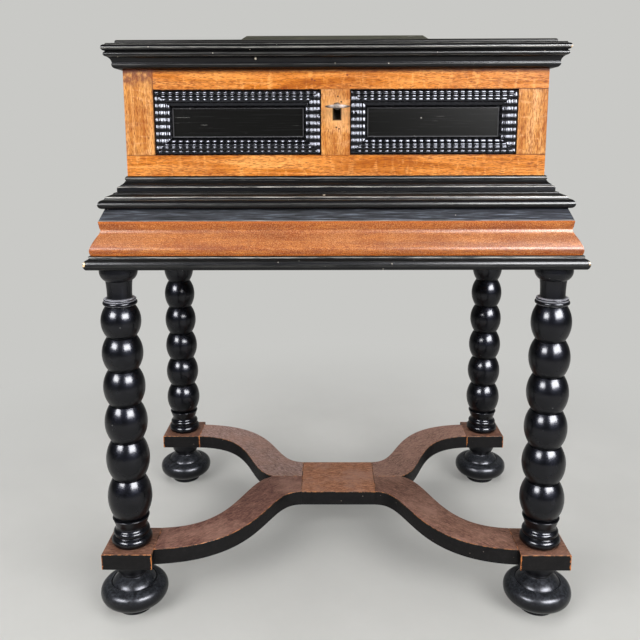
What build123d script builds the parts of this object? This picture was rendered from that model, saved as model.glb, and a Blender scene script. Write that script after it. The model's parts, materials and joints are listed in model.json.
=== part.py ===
from build123d import *
import os

# A lift-lid casket on its own stand: oak and ebonised wood, four bead-turned legs joined
# by a flat curved stretcher.
# Frame: X to the right, Y to the back, Z up; the origin is on the floor, midway between the legs.

os.makedirs("parts", exist_ok=True)

# ---------------------------------------------------------------- driving sizes, millimetres

# Stand
leg_spacing_x = 600.0
leg_spacing_y = 404.5
foot_height = 80.3
foot_dia = 98.0
foot_pad_dia = 52.0
foot_lip_dia = 70.0
foot_waist_dia = 37.0
foot_collar_dia = 53.0
stretcher_thickness = 24.2
block_side = 72.0
stretcher_board_length = 124.0
stretcher_board_width = 109.0
stretcher_offset = 7.0
arm_width = 58.0
arm_crotch = 50.0
leg_height = 413.2
bead_count = 6
top_bead_dia = 55.4
bottom_bead_dia = 63.2
bead_groove = 1.6
leg_top_dia = 52.0
leg_neck_dia = 36.0
leg_base_dia = 58.5
leg_base_height = 42.9
tenon_dia = 22.0
tenon_depth = 30.0

# Stand frame, under the casket
frame_margin_side = 18.0
frame_margin_front = 12.4
frame_margin_back = 28.5
frame_rail_width = 62.0
frame_rail_thickness = 18.3
bottom_moulding_width = 20.3
frieze_height = 45.5
frieze_depth = 28.0
splay_height = 16.5
splay_rebate = 10.0
stand_top_thickness = 20.5
stand_top_moulding_width = 20.0
stand_top_inset = 18.0
glue_block_side = 30.0

# Casket
casket_setback = 32.0
casket_height = 165.0
side_thickness = 18.0
front_thickness = 20.0
bottom_thickness = 12.0
stile_width = 39.5
muntin_width = 39.0
top_rail_height = 27.5
bottom_rail_height = 50.0
panel_thickness = 8.0
panel_depth = 8.0
panel_lip = 8.0
ripple_width = 24.0
ripple_proud = 4.5
base_moulding_width = 12.3
base_moulding_height = 21.8

# Lid
lid_overhang = 7.0
lid_thickness = 18.0
lid_tier_thickness = 19.0
lid_moulding_width = 15.0
lid_moulding_height = 32.0
raised_panel_width = 288.0
raised_panel_depth = 190.0
raised_panel_height = 18.5
raised_panel_bevel = 14.0
raised_panel_setback = 106.0

# Hinges
hinge_spacing = 340.0
hinge_width = 44.0
hinge_leaf_height = 42.0
hinge_lid_leaf_height = 30.0
hinge_leaf_thickness = 2.0
hinge_knuckle_dia = 8.0
hinge_pin_dia = 3.6
hinge_stand_off = 0.4

# Lock and key
key_offset = 2.0
key_height = 114.0
keyhole_width = 10.0
keyhole_drop = 16.5
lock_plate_thickness = 2.0
lock_plate_flange = 10.0
lock_plate_drop = 74.0
lock_case_width = 76.0
lock_case_drop = 68.0
lock_case_depth = 16.0
lock_wall = 2.0
bolt_height = 14.0
bolt_thickness = 3.0
bolt_travel = 12.0
bolt_nose_inset = 10.0
bolt_tail = 22.0
bolt_lift = 8.5
talon_width = 20.0
talon_depth = 3.2
staple_gap = 2.5
staple_thickness = 4.0
staple_wall = 2.6
key_shaft_dia = 6.0
key_bit_radius = 10.5
key_bit_thickness = 3.0
key_bit_depth = 7.0
key_bow_width = 32.0
key_bow_depth = 24.0
key_bow_thickness = 4.5
key_reach = 14.0

# Fasteners
wood_screw_dia = 4.0
wood_screw_head = 8.0
wood_screw_length = 28.0
small_screw_dia = 3.0
small_screw_head = 6.0
small_screw_length = 12.0

# Clearances
fit = 0.1
run_fit = 0.06
slide_fit = 0.4
glue_line = 0.1
hinge_gap = 0.3

# ---------------------------------------------------------------- levels and planes

leg_x = leg_spacing_x / 2
leg_y = leg_spacing_y / 2
z_stretcher = foot_height
z_leg = z_stretcher + stretcher_thickness
z_frame = z_leg + leg_height
z_frieze = z_frame + frame_rail_thickness
z_splay = z_frieze + frieze_height
z_stand_top = z_splay + splay_height
z_casket = z_stand_top + stand_top_thickness
z_rim = z_casket + casket_height
z_tier = z_rim + lid_thickness
z_raised = z_tier + lid_tier_thickness

frame_x = leg_x + frame_margin_side
frame_front = -leg_y - frame_margin_front
back = leg_y + frame_margin_back
casket_x = frame_x - casket_setback
casket_front = frame_front + casket_setback
top_x = frame_x - stand_top_inset
top_front = frame_front + stand_top_inset
lid_x = casket_x + lid_overhang
lid_front = casket_front - lid_overhang
quadrants = {"front_left": (-1, -1), "front_right": (1, -1), "back_left": (-1, 1), "back_right": (1, 1)}


def finish(piece, name):
    """Label one piece and write its file."""
    piece.part.label = name
    export_step(piece.part, f"parts/{name}.step")


def block(x0, x1, y0, y1, z0, z1, mode=Mode.ADD):
    """A squared board between two corners, added to or cut from the piece in hand."""
    with BuildSketch(Plane.XY.offset(z0)) as plan:
        with Locations(((x0 + x1) / 2, (y0 + y1) / 2)):
            Rectangle(x1 - x0, y1 - y0)
    extrude(plan.sketch, amount=z1 - z0, mode=mode)


def rod(x, y, z0, z1, dia, mode=Mode.ADD):
    """An upright round rod or hole."""
    with BuildSketch(Plane.XY.offset(z0)) as section:
        with Locations((x, y)):
            Circle(dia / 2)
    extrude(section.sketch, amount=z1 - z0, mode=mode)


def run_three_sides(half_x, front_y, z0, draw_profile):
    """Run a moulding up one side, across the front and down the other, and saw its mitres."""
    with BuildLine(Plane.XY.offset(z0)) as path:
        Polyline((-half_x, back), (-half_x, front_y), (half_x, front_y), (half_x, back))
    with BuildSketch(Plane((-half_x, back, z0), x_dir=(-1, 0, 0), z_dir=(0, 1, 0))) as profile:
        with BuildLine():
            draw_profile()
        make_face()
    sweep(profile.sketch, path=path.wires()[0], transition=Transition.RIGHT)
    saw = 4 * frieze_depth
    for side in (-1, 1):
        with BuildSketch(Plane((side * half_x, front_y, z0 - saw))) as kerf:
            Rectangle(glue_line, 2 * saw, rotation=side * 45)
        extrude(kerf.sketch, amount=3 * saw, mode=Mode.SUBTRACT)


# ---------------------------------------------------------------- feet


def foot_profile():
    """Half outline of a turned bun foot: lipped pad, full bun, lipped shoulder, cone and bowl."""
    pad, bun, lip = foot_pad_dia / 2, foot_dia / 2, foot_lip_dia / 2
    waist, collar = foot_waist_dia / 2, foot_collar_dia / 2
    pad_top = 0.08 * foot_height
    widest = 0.36 * foot_height
    shoulder = 0.54 * foot_height
    neck = 0.7 * foot_height
    rim = foot_height - 4.0
    Polyline((0, 0), (pad - 1, 0), (pad, 1), (pad, pad_top), (pad + 2.6, pad_top + 0.4),
             (pad + 3, pad_top + 1.4))
    Bezier((pad + 3, pad_top + 1.4), (pad + 12, 0.46 * widest), (bun, 0.58 * widest), (bun, widest))
    Bezier((bun, widest), (bun, 0.46 * foot_height), (bun - 5, 0.53 * foot_height), (lip, shoulder))
    Polyline((lip, shoulder), (lip - 1.6, shoulder + 0.6), (lip - 3, shoulder - 0.6))
    Bezier((lip - 3, shoulder - 0.6), (lip - 5, shoulder + 4), (waist + 5, neck - 4), (waist, neck - 2))
    Bezier((waist, neck - 2), (waist - 0.6, neck - 1), (waist - 0.6, neck), (waist, neck + 1))
    Bezier((waist, neck + 1), (waist + 4, neck + 2.5), (collar - 0.6, rim - 9), (collar, rim))
    Polyline((collar, rim), (collar, foot_height), (0, foot_height), (0, 0))


with BuildPart() as turned_foot:
    with BuildSketch(Plane.XZ):
        with BuildLine():
            foot_profile()
        make_face()
    revolve(axis=Axis.Z)
    rod(0, 0, foot_height - tenon_depth, foot_height, tenon_dia + 2 * fit, Mode.SUBTRACT)

for place, (side, end) in quadrants.items():
    with BuildPart() as foot:
        with Locations((side * leg_x, end * leg_y, 0)):
            add(turned_foot.part)
    finish(foot, f"foot_{place}")

# ---------------------------------------------------------------- legs

cap_height = 9.7
cap_neck_height = 34.4
ring_height = 9.6
ring_dia = 47.4
ring_gap = 1.0
bead_start = leg_height - cap_height - cap_neck_height - ring_height - ring_gap
bead_pitch = (bead_start - leg_base_height) / bead_count
frame_tenon = frame_rail_thickness - fit
bead_growth = {"front_left": 3.1, "front_right": 1.0, "back_left": 0.6, "back_right": 1.0}


def leg_profile(growth):
    """Half outline of a leg; its beads lengthen downward by growth, each leg turned by eye."""
    tenon = tenon_dia / 2
    base, neck, top = leg_base_dia / 2, leg_neck_dia / 2, leg_top_dia / 2
    tenon_end = -stretcher_thickness - tenon_depth + fit
    torus_top = 0.33 * leg_base_height
    cushion_top = 0.56 * leg_base_height
    saucer_foot = 0.72 * leg_base_height
    waist_share = 0.74
    Polyline((0, tenon_end), (tenon, tenon_end), (tenon, 0), (base - 4, 0))
    ThreePointArc((base - 4, 0), (base, torus_top * 0.52), (base - 4.5, torus_top))
    Line((base - 4.5, torus_top), (base - 5.2, torus_top + 0.8))
    ThreePointArc((base - 5.2, torus_top + 0.8), (base - 3.2, (torus_top + cushion_top) / 2),
                  (base - 6, cushion_top))
    groove_radius = bottom_bead_dia / 2 * waist_share - bead_groove
    ThreePointArc((base - 6, cushion_top), (base - 7.4, (cushion_top + saucer_foot) / 2),
                  (base - 6.4, saucer_foot))
    Line((base - 6.4, saucer_foot), (base - 3.2, leg_base_height - 2.6))
    ThreePointArc((base - 3.2, leg_base_height - 2.6), (base - 2.8, leg_base_height - 1.7),
                  (base - 3.4, leg_base_height - 0.8))
    Line((base - 3.4, leg_base_height - 0.8), (groove_radius, leg_base_height))
    low = leg_base_height
    for order in reversed(range(bead_count)):
        radius = (top_bead_dia + (bottom_bead_dia - top_bead_dia) * order / max(bead_count - 1, 1)) / 2
        high = low + bead_pitch + growth * (order - (bead_count - 1) / 2)
        waist = radius * waist_share
        Line((groove_radius, low), (waist, low + bead_groove / 2))
        ThreePointArc((waist, low + bead_groove / 2), (radius, (low + high) / 2),
                      (waist, high - bead_groove / 2))
        groove_radius = waist - bead_groove
        Line((waist, high - bead_groove / 2), (groove_radius, high))
        low = high
    ring = ring_dia / 2
    ring_low = low + ring_gap
    ring_top = ring_low + ring_height
    torus_high = ring_low + 0.62 * ring_height
    cap_low = leg_height - cap_height
    Line((groove_radius, low), (ring - 2, ring_low))
    ThreePointArc((ring - 2, ring_low), (ring, (ring_low + torus_high) / 2), (ring - 2, torus_high))
    Line((ring - 2, torus_high), (ring - 3, torus_high + 0.6))
    ThreePointArc((ring - 3, torus_high + 0.6), (ring - 1.6, (torus_high + ring_top) / 2 + 0.3),
                  (ring - 3.2, ring_top))
    Line((ring - 3.2, ring_top), (neck - 0.8, ring_top + 0.8))
    Bezier((neck - 0.8, ring_top + 0.8), (neck - 1.2, ring_top + 8), (neck - 0.6, cap_low - 16),
           (neck + 0.4, cap_low - 9.5))
    ThreePointArc((neck + 0.4, cap_low - 9.5), (neck + 5.4, cap_low - 5), (top, cap_low + 2.5))
    Polyline((top, cap_low + 2.5), (top, leg_height), (tenon, leg_height), (tenon, leg_height + frame_tenon),
             (0, leg_height + frame_tenon), (0, tenon_end))


for place, (side, end) in quadrants.items():
    with BuildPart() as turned_leg:
        with BuildSketch(Plane.XZ):
            with BuildLine():
                leg_profile(bead_growth[place])
            make_face()
        revolve(axis=Axis.Z)
    with BuildPart() as leg:
        with Locations((side * leg_x, end * leg_y, z_leg)):
            add(turned_leg.part)
    finish(leg, f"leg_{place}")

# ---------------------------------------------------------------- stretcher

for place, (side, end) in quadrants.items():
    with BuildPart() as corner_block:
        half = block_side / 2
        block(side * leg_x - half, side * leg_x + half, end * leg_y - half, end * leg_y + half,
              z_stretcher, z_leg)
        chamfer(corner_block.edges().group_by(Axis.Z)[-1], 0.8)
        rod(side * leg_x, end * leg_y, z_stretcher, z_leg, tenon_dia + 2 * fit, Mode.SUBTRACT)
    finish(corner_block, f"stretcher_block_{place}")

board_half = stretcher_board_length / 2
board_side = stretcher_board_width / 2
block_inner_x = leg_x - block_side / 2
block_inner_y = leg_y - block_side / 2


def arm_point(side, end, across, along):
    """A point of an arm's plan: across from board end (0) to block (1), along in real Y."""
    near = side * board_half + stretcher_offset
    far = side * block_inner_x
    return (near + (far - near) * across, end * along)


for place, (side, end) in quadrants.items():
    crotch = arm_crotch / (block_inner_x - board_half)
    outer_end = block_inner_y + arm_width
    with BuildPart() as arm:
        with BuildSketch(Plane.XY.offset(z_stretcher)):
            with BuildLine():
                Line(arm_point(side, end, crotch, glue_line / 2), arm_point(side, end, 0, glue_line / 2))
                Line(arm_point(side, end, 0, glue_line / 2), arm_point(side, end, 0, board_side))
                Bezier(arm_point(side, end, 0, board_side), arm_point(side, end, 0.31, board_side),
                       arm_point(side, end, 0.19, outer_end - 0.05 * outer_end),
                       arm_point(side, end, 1, outer_end))
                Line(arm_point(side, end, 1, outer_end), arm_point(side, end, 1, block_inner_y))
                Bezier(arm_point(side, end, 1, block_inner_y),
                       arm_point(side, end, 0.435, block_inner_y - 0.035 * block_inner_y),
                       arm_point(side, end, 0.51, 0.15 * block_inner_y),
                       arm_point(side, end, crotch, glue_line / 2))
            make_face()
        extrude(amount=stretcher_thickness)
        chamfer(arm.edges().group_by(Axis.Z)[-1], 0.6)
    finish(arm, f"stretcher_arm_{place}")

with BuildPart() as stretcher_board:
    block(stretcher_offset - board_half, stretcher_offset + board_half, -board_side, board_side,
          z_stretcher, z_leg)
    chamfer(stretcher_board.edges().group_by(Axis.Z)[-1], 1.0)
finish(stretcher_board, "stretcher_board")

# ---------------------------------------------------------------- stand frame

rail_inner_x = frame_x - frame_rail_width

for side, name in ((-1, "frame_rail_left"), (1, "frame_rail_right")):
    with BuildPart() as side_rail:
        inner, outer = sorted((side * rail_inner_x, side * frame_x))
        block(inner, outer, frame_front, back, z_frame, z_frieze)
        for end in (-1, 1):
            rod(side * leg_x, end * leg_y, z_frame, z_frieze, tenon_dia + 2 * fit, Mode.SUBTRACT)
    finish(side_rail, name)

for front_y, back_y, name in ((frame_front, frame_front + frame_rail_width, "frame_rail_front"),
                              (back - frame_rail_width, back, "frame_rail_back")):
    with BuildPart() as cross_rail:
        block(-rail_inner_x, rail_inner_x, front_y, back_y, z_frame, z_frieze)
    finish(cross_rail, name)


def bottom_moulding_profile():
    """Torus with a hollow and a fillet above it."""
    width, height = bottom_moulding_width, frame_rail_thickness
    torus_top = height - 5.0
    Line((0, 0), (width - 3, 0))
    ThreePointArc((width - 3, 0), (width, torus_top / 2), (width - 3, torus_top))
    ThreePointArc((width - 3, torus_top), (width - 5.5, torus_top + 0.6), (width - 6.3, torus_top + 1.8))
    Polyline((width - 6.3, torus_top + 1.8), (width - 6.3, height), (0, height), (0, 0))


with BuildPart() as bottom_moulding:
    run_three_sides(frame_x, frame_front, z_frame, bottom_moulding_profile)
finish(bottom_moulding, "bottom_moulding")


def frieze_profile():
    """Thick moulded board: swelling foot, long hollow, top fillet, and a tongue behind the splay."""
    height = frieze_height
    swell, hollow, fillet = 13.0, 0.0, 2.3
    Line((-frieze_depth, 0), (swell - 2.0, 0))
    ThreePointArc((swell - 2.0, 0), (swell, 0.14 * height), (swell - 1.4, 0.27 * height))
    Spline((swell - 1.4, 0.27 * height), (hollow + 4.6, 0.54 * height), (hollow, 0.75 * height),
           tangents=((-0.45, 1), (-0.1, 1)))
    Polyline((hollow, 0.75 * height), (hollow + 0.9, 0.8 * height), (fillet, height),
             (-splay_rebate, height), (-splay_rebate, height + splay_height),
             (-frieze_depth, height + splay_height), (-frieze_depth, 0))


with BuildPart() as frieze_run:
    run_three_sides(frame_x, frame_front, z_frieze, frieze_profile)
frieze_boards = frieze_run.solids().sort_by(Axis.X)
for board, name in zip(frieze_boards, ("frieze_left", "frieze_front", "frieze_right")):
    with BuildPart() as frieze:
        add(board)
    finish(frieze, name)

with BuildPart() as frieze_back:
    block(-frame_x + frieze_depth + glue_line, frame_x - frieze_depth - glue_line,
          back - side_thickness, back, z_frieze, z_stand_top)
finish(frieze_back, "frieze_back")


def splay_profile():
    """Sloping strip planted in the rebate above the frieze."""
    Polyline((-splay_rebate, 0), (1.5, 0), (1.5, 0.8), (-splay_rebate + 4, splay_height),
             (-splay_rebate, splay_height), (-splay_rebate, 0))


with BuildPart() as splay:
    run_three_sides(frame_x, frame_front, z_splay, splay_profile)
finish(splay, "splay_moulding")

with BuildPart() as glue_blocks:
    block_x = frame_x - frieze_depth
    block_front = frame_front + frieze_depth
    block_back = back - side_thickness
    for side in (-1, 1):
        near, far = sorted((side * block_x, side * (block_x - glue_block_side)))
        block(near, far, block_front, block_front + glue_block_side, z_frieze, z_stand_top)
        block(near, far, block_back - glue_block_side, block_back, z_frieze, z_stand_top)
finish(glue_blocks, "frame_glue_blocks")

screw_x = casket_x * 0.72
screw_front = casket_front + front_thickness + 40.0
screw_back = back - side_thickness - 40.0
casket_screws_at = [(side * screw_x, y) for side in (-1, 1) for y in (screw_front, screw_back)]

with BuildPart() as stand_top:
    block(-top_x, top_x, top_front, back, z_stand_top, z_casket)
    for x, y in casket_screws_at:
        rod(x, y, z_stand_top, z_casket, wood_screw_dia + 2 * fit, Mode.SUBTRACT)
finish(stand_top, "stand_top")


def stand_top_profile():
    """Half-round nose, a small square fillet behind it, and a slope that rises to the casket."""
    width, height = stand_top_moulding_width, stand_top_thickness
    nose_top, fillet_top = 0.6 * height, 0.76 * height
    Line((0, 0), (width - 6.5, 0))
    ThreePointArc((width - 6.5, 0), (width - 1.4, 0.1 * height), (width, 0.28 * height))
    ThreePointArc((width, 0.28 * height), (width - 1.6, 0.48 * height), (width - 6, nose_top))
    Polyline((width - 6, nose_top), (width - 7.6, nose_top + 0.6), (width - 8, fillet_top),
             (0.14 * width, 0.93 * height), (0.12 * width, height), (0, height), (0, 0))


with BuildPart() as stand_top_moulding:
    run_three_sides(top_x, top_front, z_stand_top, stand_top_profile)
finish(stand_top_moulding, "stand_top_moulding")

# ---------------------------------------------------------------- casket

opening_z0 = z_casket + bottom_rail_height
opening_z1 = z_rim - top_rail_height
opening_width = (2 * casket_x - 2 * stile_width - muntin_width) / 2
opening_x = (muntin_width + opening_width) / 2
front_back_face = casket_front + front_thickness
panel_front = casket_front + panel_depth


def panel_groove(side):
    """Cut the groove that holds one panel."""
    half = opening_width / 2 + panel_lip + glue_line
    block(side * opening_x - half, side * opening_x + half, panel_front,
          panel_front + panel_thickness + glue_line, opening_z0 - panel_lip - glue_line,
          opening_z1 + panel_lip + glue_line, Mode.SUBTRACT)


with BuildPart() as bottom_rail:
    block(-casket_x, casket_x, casket_front, front_back_face, z_casket, opening_z0)
    for side in (-1, 1):
        panel_groove(side)
finish(bottom_rail, "casket_bottom_rail")

with BuildPart() as left_stile:
    block(-casket_x, -casket_x + stile_width, casket_front, front_back_face, opening_z0, z_rim)
    panel_groove(-1)
finish(left_stile, "casket_stile_left")

with BuildPart() as right_stile:
    block(casket_x - stile_width, casket_x, casket_front, front_back_face, opening_z0, opening_z1)
    panel_groove(1)
finish(right_stile, "casket_stile_right")

lock_x = key_offset
key_z = z_casket + key_height
lock_plate_width = lock_case_width + 2 * lock_plate_flange
lock_screw_x = lock_case_width / 2 + lock_plate_flange / 2
upper_screw_z = z_rim - top_rail_height / 2
lower_screw_x = muntin_width / 2 - small_screw_head / 2 - 2
lower_screw_z = z_rim - (lock_plate_drop + lock_case_drop) / 2
lock_screws_at = [(lock_x - lock_screw_x, upper_screw_z), (lock_x + lock_screw_x, upper_screw_z)]


def along_y(x, z, y0, y1, dia, mode=Mode.ADD):
    """A round rod or hole that runs front to back."""
    with BuildSketch(Plane.XZ.offset(-y0)) as section:
        with Locations((x, z)):
            Circle(dia / 2)
    extrude(section.sketch, amount=y0 - y1, mode=mode)


with BuildPart() as top_rail:
    block(-casket_x + stile_width, casket_x, casket_front, front_back_face, opening_z1, z_rim)
    for side in (-1, 1):
        panel_groove(side)
    for x, z in lock_screws_at:
        along_y(x, z, front_back_face - small_screw_length, front_back_face,
                small_screw_dia + 2 * fit, Mode.SUBTRACT)
finish(top_rail, "casket_top_rail")

with BuildPart() as muntin:
    block(-muntin_width / 2, muntin_width / 2, casket_front, front_back_face, opening_z0, opening_z1)
    for side in (-1, 1):
        panel_groove(side)
    along_y(lock_x, key_z, casket_front, front_back_face, keyhole_width, Mode.SUBTRACT)
    block(lock_x - keyhole_width / 2, lock_x + keyhole_width / 2, casket_front, front_back_face,
          key_z - keyhole_drop, key_z, Mode.SUBTRACT)
    fillet(muntin.edges().filter_by(Axis.Y).filter_by(
        lambda edge: abs(edge.center().Z - key_z + keyhole_drop) < fit), keyhole_width / 4)
finish(muntin, "casket_muntin")

for side, name in ((-1, "panel_left"), (1, "panel_right")):
    with BuildPart() as panel:
        half = opening_width / 2 + panel_lip
        block(side * opening_x - half, side * opening_x + half, panel_front,
              panel_front + panel_thickness, opening_z0 - panel_lip, opening_z1 + panel_lip)
    finish(panel, name)


def ripple_frame(center_x):
    """Four mitred strips that line a panel opening and stand a little proud of the oak."""
    half = opening_width / 2 - glue_line
    low, high = opening_z0 + glue_line, opening_z1 - glue_line
    step = ripple_width * 0.62
    block(center_x - half, center_x + half, panel_front - panel_depth - ripple_proud + 1.5, panel_front,
          low, high)
    block(center_x - half + 4, center_x + half - 4, panel_front - panel_depth - ripple_proud,
          panel_front, low + 4, high - 4)
    block(center_x - half + step, center_x + half - step, casket_front - ripple_proud - 1,
          casket_front - ripple_proud + 3.5, low + step, high - step, Mode.SUBTRACT)
    block(center_x - half + ripple_width, center_x + half - ripple_width, casket_front - 2 * ripple_proud,
          panel_front, low + ripple_width, high - ripple_width, Mode.SUBTRACT)
    corners = ((-half, low, 45), (half, low, -45), (half, high, 45), (-half, high, -45))
    for corner_x, corner_z, turn in corners:
        with BuildSketch(Plane.XZ.offset(-panel_front - 1)) as kerf:
            with Locations((center_x + corner_x, corner_z)):
                Rectangle(4 * ripple_width, glue_line, rotation=turn)
        extrude(kerf.sketch, amount=panel_depth + 3 * ripple_proud, mode=Mode.SUBTRACT)


for side, name in ((-1, "ripple_frame_left"), (1, "ripple_frame_right")):
    with BuildPart() as ripple:
        ripple_frame(side * opening_x)
    finish(ripple, name)

bottom_z = z_casket + bottom_thickness

for side, name in ((-1, "casket_side_left"), (1, "casket_side_right")):
    with BuildPart() as casket_side:
        inner, outer = sorted((side * (casket_x - side_thickness), side * casket_x))
        block(inner, outer, front_back_face, back, z_casket, z_rim)
    finish(casket_side, name)

inside_x = casket_x - side_thickness
hinge_y = back + hinge_stand_off + hinge_knuckle_dia / 2
box_leaf_rows = (z_rim - hinge_leaf_height * 0.35, z_rim - hinge_leaf_height * 0.8)
lid_leaf_rows = (z_rim + hinge_lid_leaf_height * 0.3, z_rim + hinge_lid_leaf_height * 0.8)
hinge_screw_xs = [side * hinge_spacing / 2 + shift * hinge_width * 0.3
                  for side in (-1, 1) for shift in (-1, 1)]

with BuildPart() as casket_back:
    block(-inside_x, inside_x, back - side_thickness, back, z_casket, z_rim)
    for x in hinge_screw_xs:
        for z in box_leaf_rows:
            along_y(x, z, back - small_screw_length, back, small_screw_dia + 2 * fit, Mode.SUBTRACT)
finish(casket_back, "casket_back")

with BuildPart() as casket_bottom:
    block(-inside_x, inside_x, front_back_face, back - side_thickness, z_casket, bottom_z)
    for x, y in casket_screws_at:
        rod(x, y, z_casket, z_stand_top + wood_screw_length + fit, wood_screw_dia + 2 * fit, Mode.SUBTRACT)
finish(casket_bottom, "casket_bottom")


def base_moulding_profile():
    """Square nose, small step, a hollow, and a bead against the casket."""
    width, height = base_moulding_width, base_moulding_height
    Polyline((0, 0), (width - 0.7, 0), (width, 1), (width, 0.32 * height), (width - 0.7, 0.37 * height),
             (width - 3.7, 0.4 * height), (width - 4, 0.46 * height))
    ThreePointArc((width - 4, 0.46 * height), (0.44 * width, 0.54 * height), (0.22 * width, 0.7 * height))
    Line((0.22 * width, 0.7 * height), (0.16 * width, 0.72 * height))
    ThreePointArc((0.16 * width, 0.72 * height), (0.27 * width, 0.85 * height), (0.14 * width, 0.98 * height))
    Polyline((0.14 * width, 0.98 * height), (0.1 * width, height), (0, height), (0, 0))


with BuildPart() as base_moulding:
    run_three_sides(casket_x, casket_front, z_casket, base_moulding_profile)
finish(base_moulding, "casket_base_moulding")

with BuildPart() as casket_screws:
    for x, y in casket_screws_at:
        rod(x, y, z_stand_top - 2.5, z_stand_top, wood_screw_head)
        rod(x, y, z_stand_top, z_stand_top + wood_screw_length, wood_screw_dia)
finish(casket_screws, "casket_fixing_screws")

# ---------------------------------------------------------------- lid

with BuildPart() as lid_board:
    block(-lid_x, lid_x, lid_front, back, z_rim, z_tier)
    for x in hinge_screw_xs:
        along_y(x, lid_leaf_rows[0], back - small_screw_length, back, small_screw_dia + 2 * fit,
                Mode.SUBTRACT)
finish(lid_board, "lid_board")

with BuildPart() as lid_tier:
    block(-lid_x, lid_x, lid_front, back, z_tier, z_raised)
    top_edges = lid_tier.edges().group_by(Axis.Z)[-1]
    fillet(top_edges.filter_by(Axis.Y) + top_edges.sort_by(Axis.Y)[:1], 2.8)
    for x in hinge_screw_xs:
        along_y(x, lid_leaf_rows[1], back - small_screw_length, back, small_screw_dia + 2 * fit,
                Mode.SUBTRACT)
finish(lid_tier, "lid_tier")


def lid_moulding_profile():
    """Bottom bead, cove, and a nose of two beads with a quirk between them."""
    width, height = lid_moulding_width, lid_moulding_height
    bead_top, cove_top, quirk = 0.18 * height, 0.465 * height, 0.67 * height
    Line((0, 0), (1.2, 0))
    ThreePointArc((1.2, 0), (3.9, 0.08 * height), (4.4, bead_top))
    Line((4.4, bead_top), (3.9, bead_top + 0.9))
    ThreePointArc((3.9, bead_top + 0.9), (5.3, 0.35 * height), (width - 5.2, cove_top))
    Line((width - 5.2, cove_top), (width - 4, cove_top + 0.3))
    ThreePointArc((width - 4, cove_top + 0.3), (width - 2.2, 0.565 * height), (width - 4.2, quirk - 0.5))
    Polyline((width - 4.2, quirk - 0.5), (width - 4.8, quirk), (width - 3.4, quirk + 0.6))
    ThreePointArc((width - 3.4, quirk + 0.6), (width, 0.81 * height), (width - 3.6, 0.94 * height))
    Polyline((width - 3.6, 0.94 * height), (width - 4.4, 0.95 * height), (width - 5.4, height),
             (0, height), (0, 0))


with BuildPart() as lid_moulding:
    run_three_sides(lid_x, lid_front, z_rim, lid_moulding_profile)
finish(lid_moulding, "lid_moulding")

raised_front = lid_front + raised_panel_setback
with BuildPart() as raised_panel:
    block(-raised_panel_width / 2, raised_panel_width / 2, raised_front, raised_front + raised_panel_depth,
          z_raised, z_raised + raised_panel_height)
    chamfer(raised_panel.edges().group_by(Axis.Z)[-1], raised_panel_height * 0.6, raised_panel_bevel)
finish(raised_panel, "lid_raised_panel")

# ---------------------------------------------------------------- hinges

knuckle = hinge_width / 3


def along_x(x0, x1, y, z, dia, mode=Mode.ADD):
    """A round rod or hole that runs side to side."""
    with BuildSketch(Plane.YZ.offset(x0)) as section:
        with Locations((y, z)):
            Circle(dia / 2)
    extrude(section.sketch, amount=x1 - x0, mode=mode)


def hinge_leaf(center, z0, z1, knuckles, cut_back, screw_rows):
    """One leaf: plate, its own knuckles, room for the other leaf's, pin bore and screw holes."""
    x0 = center - hinge_width / 2
    block(x0, x0 + hinge_width, back, back + hinge_leaf_thickness, z0, z1)
    room = hinge_knuckle_dia / 2 + hinge_gap
    for index in range(3):
        left, right = x0 + index * knuckle, x0 + (index + 1) * knuckle
        if index in knuckles:
            inset_left = hinge_gap / 2 if index > 0 else 0
            inset_right = hinge_gap / 2 if index < 2 else 0
            block(left + inset_left, right - inset_right, back, back + hinge_leaf_thickness,
                  min(z0, z_rim), max(z1, z_rim))
            along_x(left + inset_left, right - inset_right, hinge_y, z_rim, hinge_knuckle_dia)
        else:
            block(left - hinge_gap / 2, right + hinge_gap / 2, back - 1, hinge_y + room,
                  *sorted((z_rim + cut_back * room, z_rim - cut_back * room)), Mode.SUBTRACT)
    along_x(x0 - 1, x0 + hinge_width + 1, hinge_y, z_rim, hinge_pin_dia + 2 * run_fit, Mode.SUBTRACT)
    for shift in (-1, 1):
        for z in screw_rows:
            along_y(center + shift * hinge_width * 0.3, z, back - 1, back + hinge_leaf_thickness + 1,
                    small_screw_dia + 2 * fit, Mode.SUBTRACT)


with BuildPart() as box_leaves:
    for side in (-1, 1):
        hinge_leaf(side * hinge_spacing / 2, z_rim - hinge_leaf_height, z_rim, (0, 2), 1, box_leaf_rows)
finish(box_leaves, "hinge_leaves_casket")

with BuildPart() as lid_leaves:
    for side in (-1, 1):
        hinge_leaf(side * hinge_spacing / 2, z_rim, z_rim + hinge_lid_leaf_height, (1,), 1, lid_leaf_rows)
finish(lid_leaves, "hinge_leaves_lid")

with BuildPart() as hinge_pins:
    for side in (-1, 1):
        pin_x = side * hinge_spacing / 2
        along_x(pin_x - hinge_width / 2, pin_x + hinge_width / 2, hinge_y, z_rim, hinge_pin_dia)
        along_x(pin_x - hinge_width / 2 - 1.5, pin_x - hinge_width / 2, hinge_y, z_rim, hinge_pin_dia + 2)
        along_x(pin_x + hinge_width / 2, pin_x + hinge_width / 2 + 1.5, hinge_y, z_rim, hinge_pin_dia + 2)
finish(hinge_pins, "hinge_pins")


def leaf_screws(rows):
    """Round-headed screws through a leaf into the wood."""
    face = back + hinge_leaf_thickness
    for x in hinge_screw_xs:
        for z in rows:
            along_y(x, z, back - small_screw_length + fit, face, small_screw_dia)
            along_y(x, z, face, face + 1.2, small_screw_head)


with BuildPart() as casket_hinge_screws:
    leaf_screws(box_leaf_rows)
finish(casket_hinge_screws, "hinge_screws_casket")

with BuildPart() as lid_hinge_screws:
    leaf_screws(lid_leaf_rows)
finish(lid_hinge_screws, "hinge_screws_lid")

# ---------------------------------------------------------------- lock

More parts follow.
